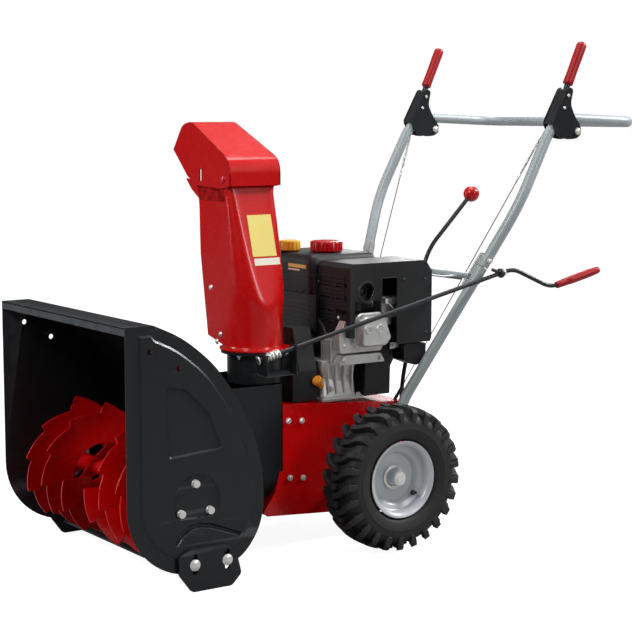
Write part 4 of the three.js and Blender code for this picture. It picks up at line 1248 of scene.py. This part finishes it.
def cylinder_head(bm):
    """Cooling fins stacked along the cylinder, the head, and the lower flange with its studs."""
    for x in (66, 75, 84, 93, 102):
        prism(bm, rounded([(-66, 400), (29, 400), (29, 460), (-66, 460)], 7), x - 1.6, x + 1.6, "x")
    prism(bm, rounded([(-52, 404), (20, 404), (20, 456), (-52, 456)], 10), 62, 108, "x")
    head = rounded([(-60, 428), (58, 428), (62, 500), (48, 508), (-40, 508), (-62, 470)], 10)
    prism(bm, head, 106.6, 131, "x")
    prism(bm, rounded([(-66, 403), (-50, 424), (50, 424), (62, 403)], 6), 107, 137, "x")
    for y in (-52, 48):
        hex_bolt(bm, (137, y, 413), X, 9, 5)
    hex_bolt(bm, (131, -46, 446), X, 8, 4)


def crankcase(bm):
    """The cast lower half of the engine: sloping sides, a ribbed wall, and a bolted foot flange."""
    rings = []
    for z, grow in ((325, 0), (352, -5), (368, -9), (386, -3), (409.5, 0)):
        outline = rounded([(-78 - grow * 0.4, -88), (95 + grow, -84 - grow), (95 + grow, 12), (-78, 15)], 9)
        rings.append([(x, y, z) for x, y in outline])
    loft(bm, rings)
    foot = rounded([(-86, -88), (104, -88), (104, 27), (-86, 27)], 10)
    loft(bm, [[(x, y, z) for x, y in inset(foot, inward)] for inward, z in ((0, 317), (0, 323), (2, 325))])
    for x, y in ((94, -78), (94, 18)):
        hex_bolt(bm, (x, y, 325), Z, 9, 5)
    for y in (-66, -44, -22, 0):
        block(bm, (80, 96.5), (y - 2, y + 2), (332, 404))
    hex_bolt(bm, (88, -58, 344), X, 11, 9)


def engine_drum(bm):
    turned(bm, (0, -88, 436), Y, [(0, 0), (32, 0), (32, 37), (66, 38), (68, 40), (68, 103), (0, 103)], 48)
    for k in range(12):
        a = math.radians(30 * k)
        u = Vector((math.cos(a), 0, math.sin(a)))
        side = Vector((-math.sin(a), 0, math.cos(a)))
        middle = Vector((0, -52, 436))
        rings = [[middle + Y * y + u * 34 + side * 2, middle + Y * y + u * 64 + side * 2,
                  middle + Y * y + u * 64 - side * 2, middle + Y * y + u * 34 - side * 2] for y in (0, -4)]
        loft(bm, rings)


def engine_covers(bm):
    """Black ducting: under the tank, behind the cowl's window, and below the cowl's rear panel."""
    skirt = rounded([(-112, 468), (36, 468), (36, 552), (-112, 552)], 4)
    prism(bm, skirt, -60, -56.5, "y")
    block(bm, (22, 25.5), (-56, 20), (505, 600))
    for k in range(6):
        prism(bm, [(-104, 478 + 11 * k), (10, 478 + 11 * k), (10, 482 + 11 * k), (-104, 482 + 11 * k)],
              -61.6, -60, "y")
    block(bm, (58, 61), (90, 172), (424, 612))
    loft(bm, [[(x, y, z) for y, z in rounded([(114, 400), (150, 386), (178, 396), (178, 438), (114, 438)], 7)]
              for x in (96, 140)])


def cowl_grilles(bm):
    """Louvred panels on the cowl's front: two columns of narrow bars over a dark back."""
    for x0, x1, z0, rows in ((30, 74, 546, 6), (80, 124, 546, 6), (26, 54, 489, 4), (60, 88, 489, 4)):
        top = z0 + 9 * rows
        block(bm, (x0, x1), (-40, -38.5), (z0, top))
        for k in range(rows + 1):
            z = z0 + 9 * k
            prism(bm, [(-45.6, z - 2.6), (-41, z - 0.6), (-41, z + 2), (-45.6, z + 0.6)], x0, x1, "x")
        for x in (x0, x1):
            block(bm, (x - 1.6, x + 1.6), (-45.2, -41), (z0 - 2, top + 2))


def cowl_ribs(bm):
    """Moulded edges of the cowl: round its hole and its window, and the step to its rear panel."""
    turned(bm, (SHROUD["out"] - 0.5, 2, 566), X, [(20.5, 0), (25, 0), (24, 2), (20.5, 2.2), (20.5, 0)], 40)
    cup = [(0, 0), (20, 0), (20, 37), (18.6, 37), (18.6, 2), (11, 2), (10, 22), (7, 24), (7, 18), (0, 18)]
    turned(bm, (SHROUD["out"] - 40, 2, 566), X, cup, 36)
    edge = [(42, 470), (42, 590), (46, 595), (84, 595), (88, 590), (88, 446)]
    sweep(bm, [(SHROUD["out"] + 0.1, y, z) for y, z in edge], 1.5, 8)


def linkage(bm):
    """The governor's rods and arm above the carburettor, and the spark lead's clamp."""
    sweep(bm, bent([(126, 54, 548), (130, 70, 541), (132, 100, 512), (128, 112, 500)], 10, 5), 1.8, 10)
    sweep(bm, bent([(120, 60, 546), (122, 84, 528), (116, 104, 520)], 8, 5), 1.2, 8)
    prism(bm, rounded([(88, 426), (112, 430), (114, 440), (90, 442)], 3), 118, 121, "x")
    hex_bolt(bm, (121, 96, 435), X, 7, 4)
    turned(bm, (106, 87, 483), Z, [(0, 0), (12, 0), (12.6, 3), (12.6, 17), (0, 17)], 28)


def dipstick(bm):
    bar(bm, (96, -86, 352), (100, -96, 366), 7, 16)
    cap_axis = Vector((0.25, -0.75, 0.6)).normalized()
    profile = [(0, 0), (9, 0), (9, 4), (12, 6), (12.4, 13), (10, 16), (0, 16.4)]
    turned(bm, (99, -93, 362), cap_axis, profile, 10)


def tank_seam(bm):
    """The moulded ridge that steps down across the tank's front."""
    ridge = [(19, -60.4, 566), (-12, -60.4, 560), (-28, -60.4, 549.5), (-150, -60.4, 549.5)]
    sweep(bm, bent(ridge, 12, 6), 1.6, 10)


def tank_band(bm):
    """The band of plain sticker on the tank's front."""
    block(bm, (-76, -4), (-60.3, -59.3), (610, 618))


def grey_band(bm):
    block(bm, (-76, -30), (-60.3, -59.3), (603, 607))


def recoil(bm):
    """Slots of the recoil starter's cover, as ribs over its disc, and the hub at its middle."""
    for k in range(24):
        a = 2 * math.pi * k / 24
        u = Vector((math.cos(a), 0, math.sin(a)))
        side = Vector((-math.sin(a), 0, math.cos(a)))
        middle = Vector((0, 0, 436))
        rings = []
        for y in (133, 135.6):
            ring = [middle + Y * y + u * 36 + side * 2.2, middle + Y * y + u * 76 + side * 3.4,
                    middle + Y * y + u * 76 - side * 3.4, middle + Y * y + u * 36 - side * 2.2]
            rings.append(ring)
        loft(bm, rings)
    turned(bm, (0, 133, 436), Y, [(0, 0), (30, 0), (28, 3), (12, 4.4), (0, 4.6)], 32)


made("tank_shell", fuel_tank, PLASTIC, replaces=["fuel_tank"], bevel=1.0)
made("red_cap", lambda bm: cap(bm, (-45, 26), 38, 644, 24.5, 22), RED_PLASTIC, "fuel_cap", ["fuel_cap"],
     bevel=0.6)
made("yellow_cap", lambda bm: cap(bm, (-115, -30), 25, 644, 23.5, 16), YELLOW, "oil_cap", ["oil_cap"],
     bevel=0.6)
made("shroud_screws", shroud_screws, ZINC)
made("cowl_side_screws", side_screws, IRON)
made("rocker_cover", rocker_cover, ALLOY, replaces=["valve_cover"], bevel=0.8)
made("cylinder_fins", cylinder_head, ALLOY, bevel=0.8)
made("crankcase_casting", crankcase, ALLOY, replaces=["crankcase"], bevel=0.8)
made("engine_drum", engine_drum, IRON, bevel=0.8)
made("engine_ducting", engine_covers, PLASTIC, bevel=0.8)
made("cowl_grilles", cowl_grilles, PLASTIC, bevel=0.3)
made("cowl_ribs", cowl_ribs, PLASTIC)
made("governor_linkage", linkage, ZINC)
made("dipstick_cap", dipstick, ORANGE, bevel=0.6)
made("tank_seam", tank_seam, PLASTIC)
made("tank_sticker", tank_band, LABEL)
made("tank_sticker_edge", grey_band, LABEL_WHITE)
made("recoil_slots", recoil, PLASTIC, bevel=0.4)
for node, paint, edge in (("blower_housing", PLASTIC, 2),
                          ("recoil_grip", PLASTIC, 1.5), ("engine_shroud", PLASTIC, 1.8),
                          ("muffler", IRON, 1.5), ("carburettor", ALLOY, 0.8), ("throttle_lever", ZINC, 0.4)):
    refined(node, paint, edge)


# ---- Speed lever ----
def speed_rod(bm):
    bends = [(60, 168, 250), (60, 170, 330), (60, 222, 580), (60, 250, 648), (60, 364, 760)]
    sweep(bm, bent(bends, 30, 10), 5, 18)
    bar(bm, (60, 140.6, 262), (60, 176, 262), 12, 24, chamfer=1)


def speed_knob(bm):
    centre, radius = Vector((60, 376, 771.5)), 19
    axis = Vector((0, 114, 112)).normalized()
    profile = [(5.4, -17)]
    for k in range(13):
        a = math.radians(-60 + 150 * k / 12)
        profile.append((radius * math.cos(a), radius * math.sin(a)))
    turned(bm, centre, axis, [(0, -17.5), *profile], 40)


made("speed_rod", speed_rod, BLACK, "speed_lever", ["speed_lever"])
made("ball_knob", speed_knob, RED_PLASTIC, "speed_lever", ["speed_knob"], angle=60)


# ---- Floor ----
def stage_floor():
    mesh = bpy.data.meshes.new("floor")
    bm = bmesh.new()
    prism(bm, [(-14000, -14000), (14000, -14000), (14000, 14000), (-14000, 14000)], -20, -1, "z")
    bmesh.ops.recalc_face_normals(bm, faces=bm.faces)
    bm.transform(TO_METRES)
    bm.to_mesh(mesh)
    bm.free()
    material = surface("pale_floor", (0.30, 0.30, 0.30), 0.9, grain=(300, 0.02), mottle=0.005)
    nodes, links = material.node_tree.nodes, material.node_tree.links
    shader = nodes["Principled BSDF"]
    shader.inputs["Emission Color"].default_value = (1, 1, 1, 1)
    seen = nodes.new("ShaderNodeLightPath")
    glow = nodes.new("ShaderNodeMath")
    glow.operation = "MULTIPLY"
    glow.inputs[1].default_value = 0.93
    links.new(seen.outputs["Is Camera Ray"], glow.inputs[0])
    links.new(glow.outputs[0], shader.inputs["Emission Strength"])
    mesh.materials.append(material)
    obj = bpy.data.objects.new("floor", mesh)
    bpy.context.scene.collection.objects.link(obj)


stage_floor()
